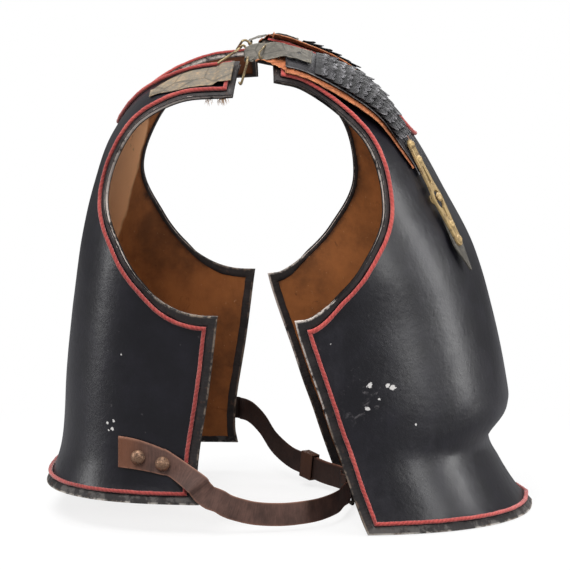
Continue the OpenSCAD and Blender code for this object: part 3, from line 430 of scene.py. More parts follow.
class Plate:
    """A plate's outer face. Level stations follow each other for whole steps of t, each with the x and z of its
    middle and of its sides, its half width and the squareness n of its outline. At angle phi, 0 in the middle and 90
    degrees at the sides, f = cos(phi) / q with q = (sin^n + cos^n)^(1/n) leads from the side to the middle, and the
    width is the half width times sin(phi) / q. A ridge is added that falls off to both sides, and all is turned about
    Z."""

    def __init__(self, stations, arm, corner, neck, yaw, origin, facing, ridge):
        self.stations, self.arm = np.array(stations, float), np.array(arm, float)
        self.corner, self.neck, self.top = corner, neck, len(stations) - 1
        self.yaw, self.origin, self.facing, self.ridge = math.radians(yaw), np.array(origin), facing, ridge

    def turned(self, x, y, z):
        c, s = math.cos(self.yaw), math.sin(self.yaw)
        return np.stack([c * x - s * y, s * x + c * y, z], -1) + self.origin

    def face(self, t, phi):
        """Points of the outer face at station t and angle phi in degrees."""
        xc, zc, xe, ze, w, n = np.moveaxis(catmull(self.stations, t), -1, 0)
        a = np.radians(np.abs(phi))
        q = (np.sin(a) ** n + np.abs(np.cos(a)) ** n) ** (1 / n)
        f, y = np.cos(a) / q, np.sign(phi) * w * np.sin(a) / q
        return self.turned(mix(xe, xc, f) + self.ridge * np.exp(-np.abs(y) / RIDGE_SPREAD), y, mix(ze, zc, f))

    def slopes(self, t, phi):
        """How the face moves for one step of t, and for one degree of phi."""
        low, high = np.maximum(0, t - PROBE_T), np.minimum(self.top, t + PROBE_T)
        along = (self.face(high, phi) - self.face(low, phi)) / (high - low)[..., None]
        return along, self.face(t, phi + 0.5) - self.face(t, phi - 0.5)

    def normal(self, t, phi):
        along, round_ = self.slopes(t, phi)
        return self.facing * unit(np.cross(round_, along))

    def outward(self, t, phi):
        """The way in which thickness is added: the normal, but level at the hem."""
        n = self.normal(t, phi)
        n[..., 2] *= np.minimum(1, t / HEM_RUN)
        return unit(n)

    def above(self, t, phi, h):
        """Points at a height h over the outer face."""
        t, phi = np.broadcast_arrays(np.asarray(t, float), np.asarray(phi, float))
        return self.face(t, phi) + np.asarray(h, float)[..., None] * self.outward(t, phi)

    def phi_at(self, t, y):
        """Angle at which the width is y."""
        v = catmull(self.stations, t)
        r, n = np.minimum(1, np.abs(y) / v[..., 4]), v[..., 5]
        return np.sign(y) * np.degrees(np.arctan2(r, np.maximum(0, 1 - r ** n) ** (1 / n)))

    def edge_phi(self, t):
        """Angle of the side edge up to the corner, and of the armhole above it."""
        arm = np.minimum(catmull(self.stations, t)[..., 4], catmull(self.arm, t))
        return np.where(t <= self.corner, 90.0, self.phi_at(t, arm))

    def neck_phi(self, t):
        """Angle of the neck's edge, which opens from its lowest point as a quarter of a circle does."""
        q = np.clip((t - self.neck) / NECK_RUN, 0, 1)
        half = NECK_HALF * np.sqrt(1 - (1 - q) ** 2) + NECK_SPREAD * (t - self.neck)
        return np.where(t <= self.neck, 0.0, self.phi_at(t, half))

    def outline(self, step, clear):
        """The closed edge as (t, phi) at even steps, with each corner kept and the points near it left out."""
        u = np.linspace(0, 1, 1500)
        hem = (0 * u, mix(-90.0, 90.0, u))
        side = (u * self.corner, 90 + 0 * u)
        up = self.corner + (self.top - self.corner) * u ** 3
        arm = (up, self.edge_phi(up))
        end = (self.top + 0 * u, mix(self.edge_phi(self.top + 0 * u), self.neck_phi(self.top + 0 * u), u))
        w = np.abs(1 - 2 * u) ** 2
        down = self.neck + (self.top - self.neck) * w
        neck = (down, np.sign(0.5 - u) * self.neck_phi(down))
        back = [(t[::-1], -phi[::-1]) for t, phi in (end, arm, side)]
        out = []
        for t, phi in [hem, side, arm, end, neck, *back]:
            p = self.face(t, phi)
            run = run_along(p)
            count = max(2, round((run[-1] - 2 * clear) / step))
            at = np.concatenate([[0], np.linspace(clear, run[-1] - clear, count)])
            out.append(np.stack([np.interp(at, run, t), np.interp(at, run, phi)], -1))
        return np.concatenate(out)

    def inside(self, line, inset, height):
        """Points at a distance inside the edge, along the face, and at a height over it. Both are given for each
        point of the line and of the section: a step across the edge is split by the face's two slopes."""
        t, phi = line[:, 0], line[:, 1]
        here = self.face(t, phi)
        e1, e2 = unit(here - np.roll(here, 1, 0)), unit(np.roll(here, -1, 0) - here)
        run = unit(e1 + e2)
        into = self.facing * unit(np.cross(self.normal(t, phi), run))
        stretch = 1 / np.maximum(0.62, (e1 * run).sum(-1))
        st, sp = self.slopes(t, phi)
        a, b, c = (st * st).sum(-1), (st * sp).sum(-1), (sp * sp).sum(-1)
        det = a * c - b * b
        u, v = (into * st).sum(-1) * stretch, (into * sp).sum(-1) * stretch
        dt, dphi = ((c * u - b * v) / det)[:, None], ((a * v - b * u) / det)[:, None]
        over = np.maximum(inset, 0)
        moved = self.above(np.clip(t[:, None] + dt * over, 0, self.top), phi[:, None] + dphi * over, height)
        out = (into * stretch[:, None])[:, None] * np.minimum(inset, 0)[..., None]
        return moved + out


# Step of t for the slopes, width of the ridge, and stations over which thickness turns from level to the normal
PROBE_T, RIDGE_SPREAD, HEM_RUN = 0.02, 18.0, 0.8
# Half width of the neck, stations over which it opens, and how much it goes on widening for each
NECK_HALF, NECK_RUN, NECK_SPREAD = 62.0, 2.0, 2.0
BREAST = Plate(
    [(190, 0, 26, 0, 166, 2.2), (176, 15, 20, 15, 162, 2.2), (160, 40, 11, 40, 159, 2.2), (150, 64, 3, 64, 158, 2.2),
     (167, 89, -6, 89, 160, 2.1), (166, 117, -15, 117, 163, 2.1), (153, 178, -39, 191, 168, 2.1),
     (135, 238, -42, 238, 172, 2.1), (108, 290, -42, 286, 170, 2.1), (76, 345, -42, 320, 162, 2.2),
     (33, 396, -28, 318, 142, 2.4), (-20, 420, -42, 338, 138, 2.6), (-50, 428, -56, 343, 138, 2.6)],
    [166, 162, 159, 158, 160, 163, 168, 162, 143, 130, 120, 115, 115], 6, 9, 4.8, (30.5, 0, 1.1), 1, 3.0)
BACK = Plate(
    [(-160, 0, -6, 0, 170, 2.6), (-152, 16, -8, 16, 165, 2.6), (-145, 46, -6, 46, 162, 2.7),
     (-141, 106, 3, 103, 164, 2.8), (-134, 166, 11, 167, 168, 2.9), (-125, 226, 18, 216, 172, 3.0),
     (-113, 276, 13, 256, 170, 3.0), (-97, 319, -22, 280, 160, 2.9), (-67, 358, -46, 287, 147, 2.8),
     (-24, 382, -33, 284, 140, 2.8), (20, 390, 12, 278, 140, 2.8)],
    [170, 165, 162, 164, 168, 153, 125, 125, 122, 115, 115], 4, 7.2, -4.8, (-61.5, 0, 29), -1, 0.0)
PLATES = (("back", BACK, "back"), ("breast", BREAST, "front"))
# Thickness of the iron, and depths of the lining's two faces under the plate's outer one
IRON, LINING_TOP, STACK = 1.6, 1.8, 3.0
# How much nearer the binding and piping lie above the corner, and over how many stations they get there
NARROWER, NARROWING_RUN = 4.4, 0.5
# Round ends and edges of straps reach this far in
ROUND_END = 1.3


def closer(plate, t):
    """How much nearer the edge binding and piping lie round the armhole, shoulder and neck."""
    return NARROWER * smooth(0, NARROWING_RUN, t - plate.corner)


def run_along(points):
    """Distance of each point of a line from its start, along the line."""
    return np.concatenate([[0], np.cumsum(np.linalg.norm(np.diff(points, axis=0), axis=1))])


def turns(count):
    """Even angles round a circle."""
    return np.linspace(0, 2 * np.pi, count, endpoint=False)


def circle(count):
    """Points of a level circle of radius 1."""
    a = turns(count)
    return np.stack([np.cos(a), np.sin(a), 0 * a], -1)


def ripple(x, seed, waves=5, longest=60.0):
    """A smooth wandering from -1 to 1 along x: sines whose wave shortens and weakens, with seeded phases."""
    rng = np.random.default_rng(seed)
    total = sum(np.sin(2 * np.pi * x / (longest / 1.7 ** k) + rng.uniform(0, 7)) / 1.35 ** k for k in range(waves))
    return total / sum(1 / 1.35 ** k for k in range(waves))


# Meshes

def finished(name, mesh, work, finish, angle):
    """An object of a mesh, once the work on it is written back with its faces turned outwards. It is smooth, except
    across edges sharper than the angle."""
    bmesh.ops.recalc_face_normals(work, faces=work.faces)
    work.to_mesh(mesh)
    work.free()
    mesh.materials.clear()
    mesh.materials.append(finish)
    mesh.shade_smooth()
    mesh.set_sharp_from_angle(angle=math.radians(angle))
    piece = bpy.data.objects.new(name, mesh)
    bpy.context.scene.collection.objects.link(piece)
    return piece


def new_piece(name, points, faces, finish, angle=50.0, weld=None, uv=None, attributes=None):
    """A piece from points in millimetres and a list of faces. Close points are welded where asked."""
    mesh = bpy.data.meshes.new(name)
    mesh.from_pydata((points * MM).tolist(), [], faces)
    if uv is not None:
        loops = np.zeros(len(mesh.loops), int)
        mesh.loops.foreach_get("vertex_index", loops)
        mesh.uv_layers.new(name="along").data.foreach_set("uv", (uv[loops] * MM).ravel())
    for key, values in (attributes or {}).items():
        mesh.attributes.new(key, "FLOAT", "POINT").data.foreach_set("value", np.asarray(values, float).ravel())
    work = bmesh.new()
    work.from_mesh(mesh)
    if weld:
        bmesh.ops.remove_doubles(work, verts=work.verts, dist=weld * MM)
        bmesh.ops.delete(work, geom=[v for v in work.verts if not v.link_faces], context="VERTS")
    return finished(name, mesh, work, finish, angle)


def settle(piece, body, slot, *nodes):
    """Ties a piece to its body and hides the CAD nodes that it stands for. slot is not used."""
    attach(piece, body)
    if nodes:
        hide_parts(*nodes)
    return piece


def grid_faces(rows, columns, start=0, wrap_rows=False, wrap_columns=False):
    """Four-cornered faces of a grid whose points are numbered row by row."""
    i = np.arange(rows if wrap_rows else rows - 1)[:, None]
    j = np.arange(columns if wrap_columns else columns - 1)[None]
    a, b = i * columns + j, i * columns + (j + 1) % columns
    c, d = (i + 1) % rows * columns + (j + 1) % columns, (i + 1) % rows * columns + j
    return start + np.stack([a, b, c, d], -1).reshape(-1, 4)


def skin(name, rings, finish, loop=False, attributes=None):
    """A closed skin through rings of points, either round again to the first ring or drawn to a point in the middle
    of each end. Its UV runs along the rings and round them, in metres."""
    rows, columns = rings.shape[:2]
    along = run_along(rings.mean(1))
    around = np.concatenate([[0], np.cumsum(np.linalg.norm(np.diff(rings, axis=1), axis=2).mean(0))])
    uv = np.stack(np.broadcast_arrays(along[:, None], around[None]), -1).reshape(-1, 2)
    points = rings.reshape(-1, 3)
    faces = grid_faces(rows, columns, wrap_rows=loop, wrap_columns=True).tolist()
    if not loop:
        count = len(points)
        points = np.concatenate([points, rings[[0, -1]].mean(1)])
        uv = np.concatenate([uv, uv[[0, count - 1]]])
        j = np.arange(columns)
        for start, centre in ((0, count), (count - columns, count + 1)):
            faces += np.stack([start + j, start + (j + 1) % columns, centre + 0 * j], -1).tolist()
        attributes = {k: np.concatenate([np.ravel(v), np.ravel(v)[[0, -1]]]) for k, v in (attributes or {}).items()}
    return new_piece(name, points, faces, finish, uv=uv, attributes=attributes)


def tube(name, points, radius, finish, start=(1.0, 0.2, 0.1)):
    """A round wire along a smooth curve through points: each ring is a circle across the run, and its first
    direction is the last ring's, made square to the run again. Its ends are drawn in."""
    sides, fine = 14, 6
    points = np.array(points, float)
    path = catmull(points, np.linspace(0, len(points) - 1, (len(points) - 1) * fine + 1))
    run = unit(np.gradient(path, axis=0))
    first = np.empty_like(path)
    u = np.array(start)
    for i, r in enumerate(run):
        u = unit(u - u @ r * r)
        first[i] = u
    second = np.cross(run, first)
    a = turns(sides)
    around = radius * (np.cos(a)[:, None] * first[:, None] + np.sin(a)[:, None] * second[:, None])
    ends = ((-0.75, 0.55), (-0.4, 0.88))
    before = [path[0] + run[0] * radius * out + around[0] * wide for out, wide in ends]
    after = [path[-1] - run[-1] * radius * out + around[-1] * wide for out, wide in ends[::-1]]
    return skin(name, np.concatenate([before, path[:, None] + around, after]), finish)


def shell(name, plate, rows, columns, heights, finish, relief=0.0, seed=0):
    """A plate or lining between two heights over the face. Both faces are grids on either side of the middle, joined
    along the edges. The columns follow the edge averaged along t, and bend to the edge itself with the 8th power of
    the way to it. The outer face swells and sinks by the product of two ripples, fading out at the edges. Each vertex
    stores its distance from the edge."""
    u = np.linspace(0, 1, rows)
    corner, neck, top = plate.corner, plate.neck, plate.top
    ts = np.concatenate([u * corner, corner + (neck - corner) * np.concatenate([u[1:] ** 2, u[1:-1]]),
                         neck + (top - neck) * np.concatenate([[0], u[1:] ** 2, u[1:-1]])])
    ts = np.unique(np.round(ts, 5))
    first = int(np.argmin(np.abs(ts - neck)))
    cols = 1 - (1 - np.linspace(0, 1, columns)) ** 1.4
    even = np.linspace(-0.6, top + 0.6, 600)
    calm = np.convolve(plate.edge_phi(np.clip(even, 0, top)), np.ones(90) / 90, "same")
    calm = np.interp(ts, even, calm)[:, None]
    t = np.broadcast_to(ts[:, None], (len(ts), columns))
    pairs = []
    for side in (-1, 1):
        phi = side * (mix(plate.neck_phi(ts)[:, None], calm, cols) +
                      (plate.edge_phi(ts)[:, None] - calm) * cols ** 8)
        wave = ripple(t * 36 + phi * 0.9, seed, 4, 110) * ripple(phi * 1.7 - t * 14, seed + 1, 4, 90)
        fade = np.minimum(1, np.minimum(1 - cols[None], t / 0.4) * 8)
        pairs.append([plate.above(t, phi, h + swell * wave * fade) for h, swell in zip(heights, (relief, 0))])
    points = np.array(pairs).reshape(-1, 3)
    edge = plate.face(*plate.outline(4, 0.5).T)
    rim = np.concatenate([np.sqrt(((p[:, None] - edge) ** 2).sum(-1).min(1))
                          for p in np.array_split(points, max(1, len(points) // 2000))])
    return slabs(name, pairs, finish, {"rim": rim}, first, 40, 0.002)


def strap_section(columns):
    """Round the section of a strap, as three factors: v runs across the flat faces, with points closer together at
    the edges, e leads out round each edge, and k goes from the top at 1 to the underside at -1."""
    v = np.sin(np.linspace(np.pi / 2, -np.pi / 2, columns))
    a = np.radians((60, 30, 0, -30, -60))
    flat, arc = 0 * v, 0 * a
    return (np.concatenate([v, arc - 1, v[::-1], arc + 1]), np.concatenate([flat, -np.cos(a), flat, np.cos(a)]),
            np.concatenate([flat + 1, np.sin(a), flat - 1, -np.sin(a)]))


def rounded(d):
    """Share of the thickness at a distance d from a strap's end: sqrt(1 - (1 - d / r)^2), at least a fifth."""
    return np.sqrt(np.clip(1 - (1 - d / ROUND_END) ** 2, 0.04, 1))


def strap(name, finish, place, run, half, low, high, rows, columns=14, roll=1.0, relief=None):
    """A strap. place gives the point for u from 0 to 1 along its run, a distance across and a height. Its half width
    and the heights low and high of its faces are numbers or functions of u. The edges are round, roll times as thick
    as the middle, and the ends are rounded too. relief is added to the height."""
    near = np.array((0, 0.12, 0.45, 1)) * ROUND_END / run
    u = np.unique(np.concatenate([near, np.linspace(near[-1], 1 - near[-1], rows), 1 - near]))
    end = rounded(np.minimum(u, 1 - u) * run)[:, None]
    half, low, high = (np.broadcast_to(f(u) if callable(f) else f, u.shape)[:, None] for f in (half, low, high))
    v, e, k = strap_section(columns)
    thick = (high - low) / 2 * end
    r = thick * roll
    across = v * (half - r) + e * r
    inset = half - np.abs(across)
    height = (low + high) / 2 + k * thick * (1 + (roll - 1) * smooth(2.4, 0.8, inset / np.maximum(r, 0.01)))
    if relief:
        height = height + relief(u[:, None], across, k)
    return skin(name, place(u[:, None], across, height), finish, attributes={"edge": smooth(1.5, 0.2, inset)})


def length_of(place):
    """Length of the middle line of a strap's place."""
    u = np.linspace(0, 1, 60)[:, None]
    return np.linalg.norm(np.diff(place(u, 0 * u, 0 * u)[:, 0], axis=0), axis=1).sum()


def slabs(name, pairs, finish, attributes, first=0, angle=45, weld=None):
    """Thin plates, each between two grids of points of one shape, closed by walls along the grids' edges. The wall
    at the first column starts at a row first."""
    points, faces, start = [], [], 0
    for top, bottom in pairs:
        rows, columns = top.shape[:2]
        size = rows * columns
        points += [top.reshape(-1, 3), bottom.reshape(-1, 3)]
        index = np.arange(size).reshape(rows, columns) + start
        faces += [grid_faces(rows, columns, start), grid_faces(rows, columns, start + size)]
        for line in (index[0], index[:, -1], index[-1], index[first:, 0]):
            a, b = line[:-1], line[1:]
            faces.append(np.stack([a, b, b + size, a + size], -1))
        start += 2 * size
    return new_piece(name, np.concatenate(points), np.concatenate(faces).tolist(), finish, angle, weld,
                     attributes=attributes)


# How far fibres sag and how much thinner they get, as shares of their length and radius
SAG, THINNER = 0.4, 0.75


def fibres(name, roots, ways, finish, radius):
    """Thin tapered fibres from points along directions whose length is the fibre's. Each sags by SAG times its
    length as the square of the way along."""
    rows, sides = 6, 4
    w = np.linspace(0, 1, rows)[None, :, None]
    long = np.linalg.norm(ways, axis=1)[:, None, None]
    path = roots[:, None] + ways[:, None] * w + np.array((0, 0, -1.0)) * SAG * long * w ** 2
    points = (path[:, :, None] + circle(sides) * (radius * (1 - THINNER * w))[..., None]).reshape(-1, 3)
    size = rows * sides
    one = np.arange(size).reshape(rows, sides)
    one = np.concatenate([grid_faces(rows, sides, wrap_columns=True), one[[0, -1]]])
    faces = (np.arange(len(roots))[:, None, None] * size + one).reshape(-1, 4)
    return new_piece(name, points, faces.tolist(), finish, 60)


def pierce(piece, centre, radius, depth):
    """Cuts an upright round hole through a piece."""
    ring = centre + radius * circle(20)
    tool = skin("cutter", np.stack([ring - (0, 0, depth), ring + (0, 0, depth)]), piece.data.materials[0])
    cut = piece.modifiers.new("cut", "BOOLEAN")
    cut.operation, cut.solver, cut.object = "DIFFERENCE", "EXACT", tool
    seen = bpy.data.meshes.new_from_object(piece.evaluated_get(bpy.context.evaluated_depsgraph_get()))
    piece.modifiers.clear()
    gone = piece.data, tool.data
    piece.data = seen
    bpy.data.objects.remove(tool)
    for mesh in gone:
        bpy.data.meshes.remove(mesh)


def refined(name, node, finish, width):
    """A merged copy of a CAD node whose sharp edges are rounded by a width in millimetres."""
    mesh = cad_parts[node].data.copy()
    mesh.name = name
    sharp_angle = 35
    work = bmesh.new()
    work.from_mesh(mesh)
    bmesh.ops.remove_doubles(work, verts=work.verts, dist=MM / 100)
    bmesh.ops.dissolve_limit(work, angle_limit=math.radians(1.5), verts=work.verts, edges=work.edges)
    sharp = [e for e in work.edges if e.is_manifold and e.calc_face_angle(0) > math.radians(sharp_angle)]
    bmesh.ops.bevel(work, geom=sharp, offset=width * MM, segments=3, profile=0.5, affect="EDGES", clamp_overlap=True)
    return finished(name, mesh, work, finish, sharp_angle)


def dress(finish, *nodes):
    """Gives CAD nodes that stay a finish."""
    for node in nodes:
        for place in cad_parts[node].material_slots:
            place.material = finish


# Shoulder straps

# Stations where a strap starts and where its padding and its leather end, and its middle's distance from the plate's
# at both ends
STRAP_T0, STRAP_T1, LEATHER_T1 = 11.75, 8.55, 8.42
STRAP_Y, HOOK_Y = 88.0, 85.0


def strap_mid(t):
    """Distance of a strap's middle from the plate's: it moves inwards below t = 10."""
    return mix(STRAP_Y, HOOK_Y, smooth(0, 1, (10 - t) / 1.3))


def narrowing(t, full, least):
    """Width of a strap, full at the shoulder and least at the hook, with the square of the way between."""
    return mix(full, least, np.clip((10.2 - t) / 1.6, 0, 1) ** 2)


def strap_bed(t):
    """Height at which a strap lies: over the piping at the shoulder and on the iron below it."""
    return mix(4.4, 0.7, smooth(0, 1, (9.9 - t) / 1.1))


def pad_at(t):
    """Top of the padding, which thins out under the hook plate."""
    return 2.6 * mix(0.3, 1, np.clip((t - 8.95) / 0.45, 0, 1))


def scale_at(t):
    """Height at which the scales lie on the strap's leather."""
    return pad_at(t) + 2.8


def on_strap(s, t, across=0.0, h=0.0):
    """Point on a strap, s being -1 on the right and 1 on the left, across being away from the wearer's neck."""
    t, across = np.asarray(t, float), np.asarray(across, float)
    return BREAST.above(t, BREAST.phi_at(t, s * (strap_mid(t) + across)), strap_bed(t) + h)


def strap_place(s, t0, t1):
    """The place of a layer of a strap between two stations, and the station for u."""
    def t_of(u):
        return mix(t0, t1, u)
    return lambda u, across, h: on_strap(s, t_of(u), across, h), t_of


def on_path(points, fine, widths):
    """The place of a strap on a smooth path, and the path's length. The width's direction is widths(u, ahead), and
    the height goes across it and the run."""
    path = catmull(np.array(points, float), np.linspace(0, len(points) - 1, fine * (len(points) - 1) + 1))
    run = run_along(path)
    ahead = unit(np.gradient(path, run, axis=0))

    def place(u, across, h):
        at = u * run[-1]
        p, d = (np.stack([np.interp(at, run, line[:, i]) for i in range(3)], -1) for line in (path, ahead))
        d = unit(d)
        wide = widths(u, d)
        return p + np.cross(d, wide) * h[..., None] + wide * across[..., None]
    return place, run[-1]


# Where the line of the shoulder pins crosses the middle, and how far from there a pin starts and ends
SHOULDER = np.array((-38.0, 0, 420.0))
PIN_IN, PIN_OUT = 60.0, 105.0
# Heights of the billet's underside and middle line over the strap's bed, its half width, and its stations there
BILLET_H, BILLET_MID, BILLET_HALF = 5.4, 6.6, 12.6
BILLET_OVER = (11.6, 11.35, 11.1, 11.0)
# Middle line round the pin: x and z from the pin's own
ROUND_PIN = ((5.58, -2.9), (2.5, -2.7), (0, -2.5), (-1.9, -1.6), (-2.5, 0.3), (-1.6, 2.1), (0.6, 2.8))


def billet_rise(s, height):
    """Where a billet's middle line rises from a height over the pin's, and where it leads over the strap."""
    lead = on_strap(s, STRAP_T0 + 0.1, 0, BILLET_MID)
    return np.array((SHOULDER[0] + 5.15, s * STRAP_Y, mix(SHOULDER[2] + height, lead[2], 0.45))), lead


def billet_line(s):
    """Middle line of a billet: round the pin from below, up the rise and over the strap to its end."""
    start = [SHOULDER + (x, s * STRAP_Y, z) for x, z in ROUND_PIN]
    rise, lead = billet_rise(s, ROUND_PIN[-1][1])
    return [*start, rise, mix(rise, lead, 0.5), lead, *[on_strap(s, t, 0, BILLET_MID) for t in BILLET_OVER]]


def billet_place(s):
    """The billet's width runs along Y at the pin, leans outwards past it on the right, and on the strap follows the
    strap's own width."""
    turn = unit(on_strap(s, 11.5, 5, 6) - on_strap(s, 11.5, -5, 6)) * s
    lean = np.array((0, 0, 0.6 if s < 0 else 0))

    def widths(u, d):
        w = smooth(0.45, 0.7, u)[..., None]
        level = np.array((0, 1.0, 0)) + lean * smooth(0.04, 0.26, u)[..., None]
        wide = unit(unit(level) * (1 - w) + turn * w)
        return unit(wide - (wide * d).sum(-1, keepdims=True) * d)
    return on_path(billet_line(s), 30, widths)


def crumple_place(s):
    """Place of the crumpled leather between a strap's start and its pin: a Bezier curve of five points for each
    distance across, whose weights are the binomial ones."""
    def place(u, across, h):
        y = s * (STRAP_Y + across)
        knots = [*[np.stack(np.broadcast_arrays(x + 0 * y, y, z + h - drop * across), -1)
                   for x, z, drop in ((-31.0, 419.0, 0.14), (-20.0, 425.5, 0.32))],
                 *[on_strap(s, t, across, h + 1.7) for t in (11.9, 11.65, 11.4)]]
        return sum(math.comb(4, k) * (u ** k * (1 - u) ** (4 - k))[..., None] * q for k, q in enumerate(knots))
    return place


def back_pale(f):
    """1 on the upper part of the back plate's lining, above a slanting seam."""
    seam = f.axis(0) - f.axis(2) * 0.273 + 0.2277
    return (seam + (f.noise(40, 3, 0.5) - 0.5) * 0.012).step(0.0015, -0.0015)


def breast_pale(f):
    """Half at the top of the breast plate's lining, fading out downwards."""
    return f.axis(2).step(0.36, 0.46) * 0.5


def paint(palette):
    """All the finishes, by name."""
    return {
        "lacquer": lacquer_finish(palette),
        "back_lining": lining_finish(palette, "back_lining_leather", back_pale),
        "breast_lining": lining_finish(palette, "breast_lining_leather", breast_pale),
        "binding": binding_finish(palette),
        "breast_wool": wool_finish("red_wool", palette.wool),
        "back_wool": wool_finish("darker_red_wool", tint(palette.wool, 0.72)),
        "grey": hide_finish("grey_leather", tint(palette.grey_hide, 0.42), palette.grey_hide,
                            (0.30, 0.27, 0.21), 0.6, crackle=24),
        "tab": hide_finish("tab_leather", tint(palette.grey_hide, 0.8), (0.33, 0.245, 0.155),
                           (0.40, 0.27, 0.15), 0.55, crackle=30),
        "fray": hide_finish("frayed_fibre", (0.42, 0.22, 0.10), (0.60, 0.36, 0.19), (0.70, 0.50, 0.32), 0.5),
        "padding": hide_finish("padding_leather", tint(palette.padding, 0.42), palette.padding,
                               (0.60, 0.27, 0.12), 0.6, 0.65, 1.2, 14),
        "strap": hide_finish("strap_leather", palette.strap, tint(palette.strap, 2.6),
                             (0.30, 0.29, 0.29), 0.62, 0.42),
        "right_belt": belt_finish("belt_leather", tint(palette.belt, 0.4), tint(palette.belt, 1.35),
                                  (0.36, 0.17, 0.11), (0.20, 0.07, 0.03)),
        # The far half's belt leather: a darker copy, partly its own darker tone and partly painted shade.
        "left_belt": belt_finish("dark_belt_leather_with_painted_shade", tint(palette.belt, 0.16), tint(palette.belt, 0.42),
                                 (0.11, 0.045, 0.03), (0.10, 0.04, 0.02)),
        "scale": scale_finish(palette),
        "brass": brass_finish("aged_brass", palette.brass, (0.16, 0.10, 0.05), 0.45, 0.42, 0.4),
        "wire": brass_finish("dull_wire", palette.wire, (0.13, 0.09, 0.05), 0.55, 0.38),
        "copper": brass_finish("copper_brass", palette.copper, (0.10, 0.055, 0.035), 0.55, 0.33),
        "steel": brass_finish("forged_steel", palette.steel, (0.035, 0.025, 0.02), 0.5, 0.45),
    }


def looks():
    """The finishes, made once from the user's colours, and the user's sizes in millimetres."""
    scene = bpy.context.scene
    if not FINISHES:
        FINISHES.update(paint(scene.cuirass_colours))
    sizes = scene.cuirass_sizes
    return FINISHES, {key: getattr(sizes, key) / MM for key in sizes.__annotations__}


FINISHES = {}


# Operators

class CUIRASS_OT_plates(bpy.types.Operator):
    """Build both iron plates"""
    bl_idname = "cuirass.plates"
    bl_label = "Iron plates"

    def execute(self, context):
        finishes, sizes = looks()
        for seed, (name, plate, body) in enumerate(PLATES):
            piece = shell(f"{name}_iron", plate, 46, 46, (0, -IRON), finishes["lacquer"], sizes["dent"],
                          seed * 10 + 3)
            settle(piece, body, "lacquered_iron", f"{name}_plate")
        return {"FINISHED"}


class CUIRASS_OT_linings(bpy.types.Operator):
    """Build both leather linings"""
    bl_idname = "cuirass.linings"
    bl_label = "Linings"

    def execute(self, context):
        finishes, _ = looks()
        for name, plate, body in PLATES:
            piece = shell(f"{name}_lining_leather", plate, 30, 34, (-LINING_TOP, -STACK), finishes[f"{name}_lining"])
            settle(piece, body, "lining_leather", f"{name}_lining")
        return {"FINISHED"}


# Distance from ring to ring of the bindings and pipings, and how far from a corner their rings keep
BINDING_STEP, PIPING_STEP, BINDING_CLEAR, PIPING_CLEAR = 1.8, 1.3, 8.6, 11.5
# Where the middle of a piping lies inside the edge, the height of its underside, and its half width and half height
PIPING_IN, PIPING_LOW, PIPING_WIDE, PIPING_TALL = 9.5, 0.35, 1.85, 1.8
# Section of a binding round the edge of a plate: distance inside the edge and height over the face
BINDING = np.array([
    (7.0, 0.5), (7.0, 0.15), (2, 0.15), (-0.15, 0.15), (-0.15, -3.15), (2, -3.15), (7.0, -3.15), (7.0, -3.4),
    (6.6, -3.95), (4, -4.0), (1, -4.0), (-0.3, -3.95), (-0.75, -3.6), (-0.98, -3.0), (-1.0, -2.0), (-1.0, -0.6),
    (-0.98, 0.0), (-0.75, 0.65), (-0.3, 0.97), (1, 1.0), (3, 1.0), (5, 1.0), (6.5, 0.95), (6.9, 0.75)])


class CUIRASS_OT_bindings(bpy.types.Operator):
    """Build the leather bindings that wrap the edges of both plates"""
    bl_idname = "cuirass.bindings"
    bl_label = "Bindings"

    def execute(self, context):
        finishes, sizes = looks()
        for seed, (name, plate, body) in enumerate(PLATES):
            line = plate.outline(BINDING_STEP, BINDING_CLEAR)
            x = np.arange(len(line)) * BINDING_STEP
            inset = BINDING[None, :, 0] - (BINDING[:, 0] > 1.5) * closer(plate, line[:, 0])[:, None]
            inset = inset + (BINDING[:, 0] > 5.5) * (ripple(x, seed + 5, 6, 45) * sizes["edge_wander"])[:, None]
            crease = (ripple(x, seed + 9, 7, 30) * sizes["crease"])[:, None]
            high = (BINDING[:, 1] > 0.9) | (BINDING[:, 1] < -3.9)
            outside = BINDING[:, 1] + high * np.sign(BINDING[:, 1]) * (crease - sizes["crease"] * 0.6)
            rings = plate.inside(line, inset, outside)
            rings[..., 2] = np.maximum(rings[..., 2], 0)
            edge = np.broadcast_to(BINDING[:, 0] < -0.2, rings.shape[:2])
            hem = np.broadcast_to(smooth(0.5, 0.1, line[:, 0])[:, None], rings.shape[:2])
            # The binding's edge round the armholes, which the finish paints pale: partly wear, partly a painted
            # highlight.
            arm = edge * smooth(4.2, 4.8, line[:, 0])[:, None] * smooth(10.6, 9.6, line[:, 0])[:, None]
            piece = skin(f"{name}_binding_leather", rings, finishes["binding"], True,
                         {"edge": edge, "hem": hem, "arm": arm})
            settle(piece, body, "binding_leather", f"{name}_binding")
        return {"FINISHED"}


class CUIRASS_OT_pipings(bpy.types.Operator):
    """Build the red wool piping along the bindings"""
    bl_idname = "cuirass.pipings"
    bl_label = "Pipings"

    def execute(self, context):
        finishes, _ = looks()
        a = turns(14)
        for seed, (name, plate, body) in enumerate(PLATES):
            line = plate.outline(PIPING_STEP, PIPING_CLEAR)
            x = np.arange(len(line)) * PIPING_STEP
            wide = (PIPING_WIDE + 0.16 * ripple(x, seed + 31, 7, 26))[:, None]
            tall = (PIPING_TALL + 0.14 * ripple(x, seed + 41, 7, 20))[:, None]
            middle = PIPING_IN - closer(plate, line[:, 0]) + 0.22 * ripple(x, seed + 51, 6, 50)
            inset = middle[:, None] + wide * np.cos(a)
            height = PIPING_LOW + tall * (1 + np.sin(a))
            piece = skin(f"{name}_piping_wool", plate.inside(line, inset, height), finishes[f"{name}_wool"], True)
            settle(piece, body, "piping_wool", f"{name}_piping")
        return {"FINISHED"}


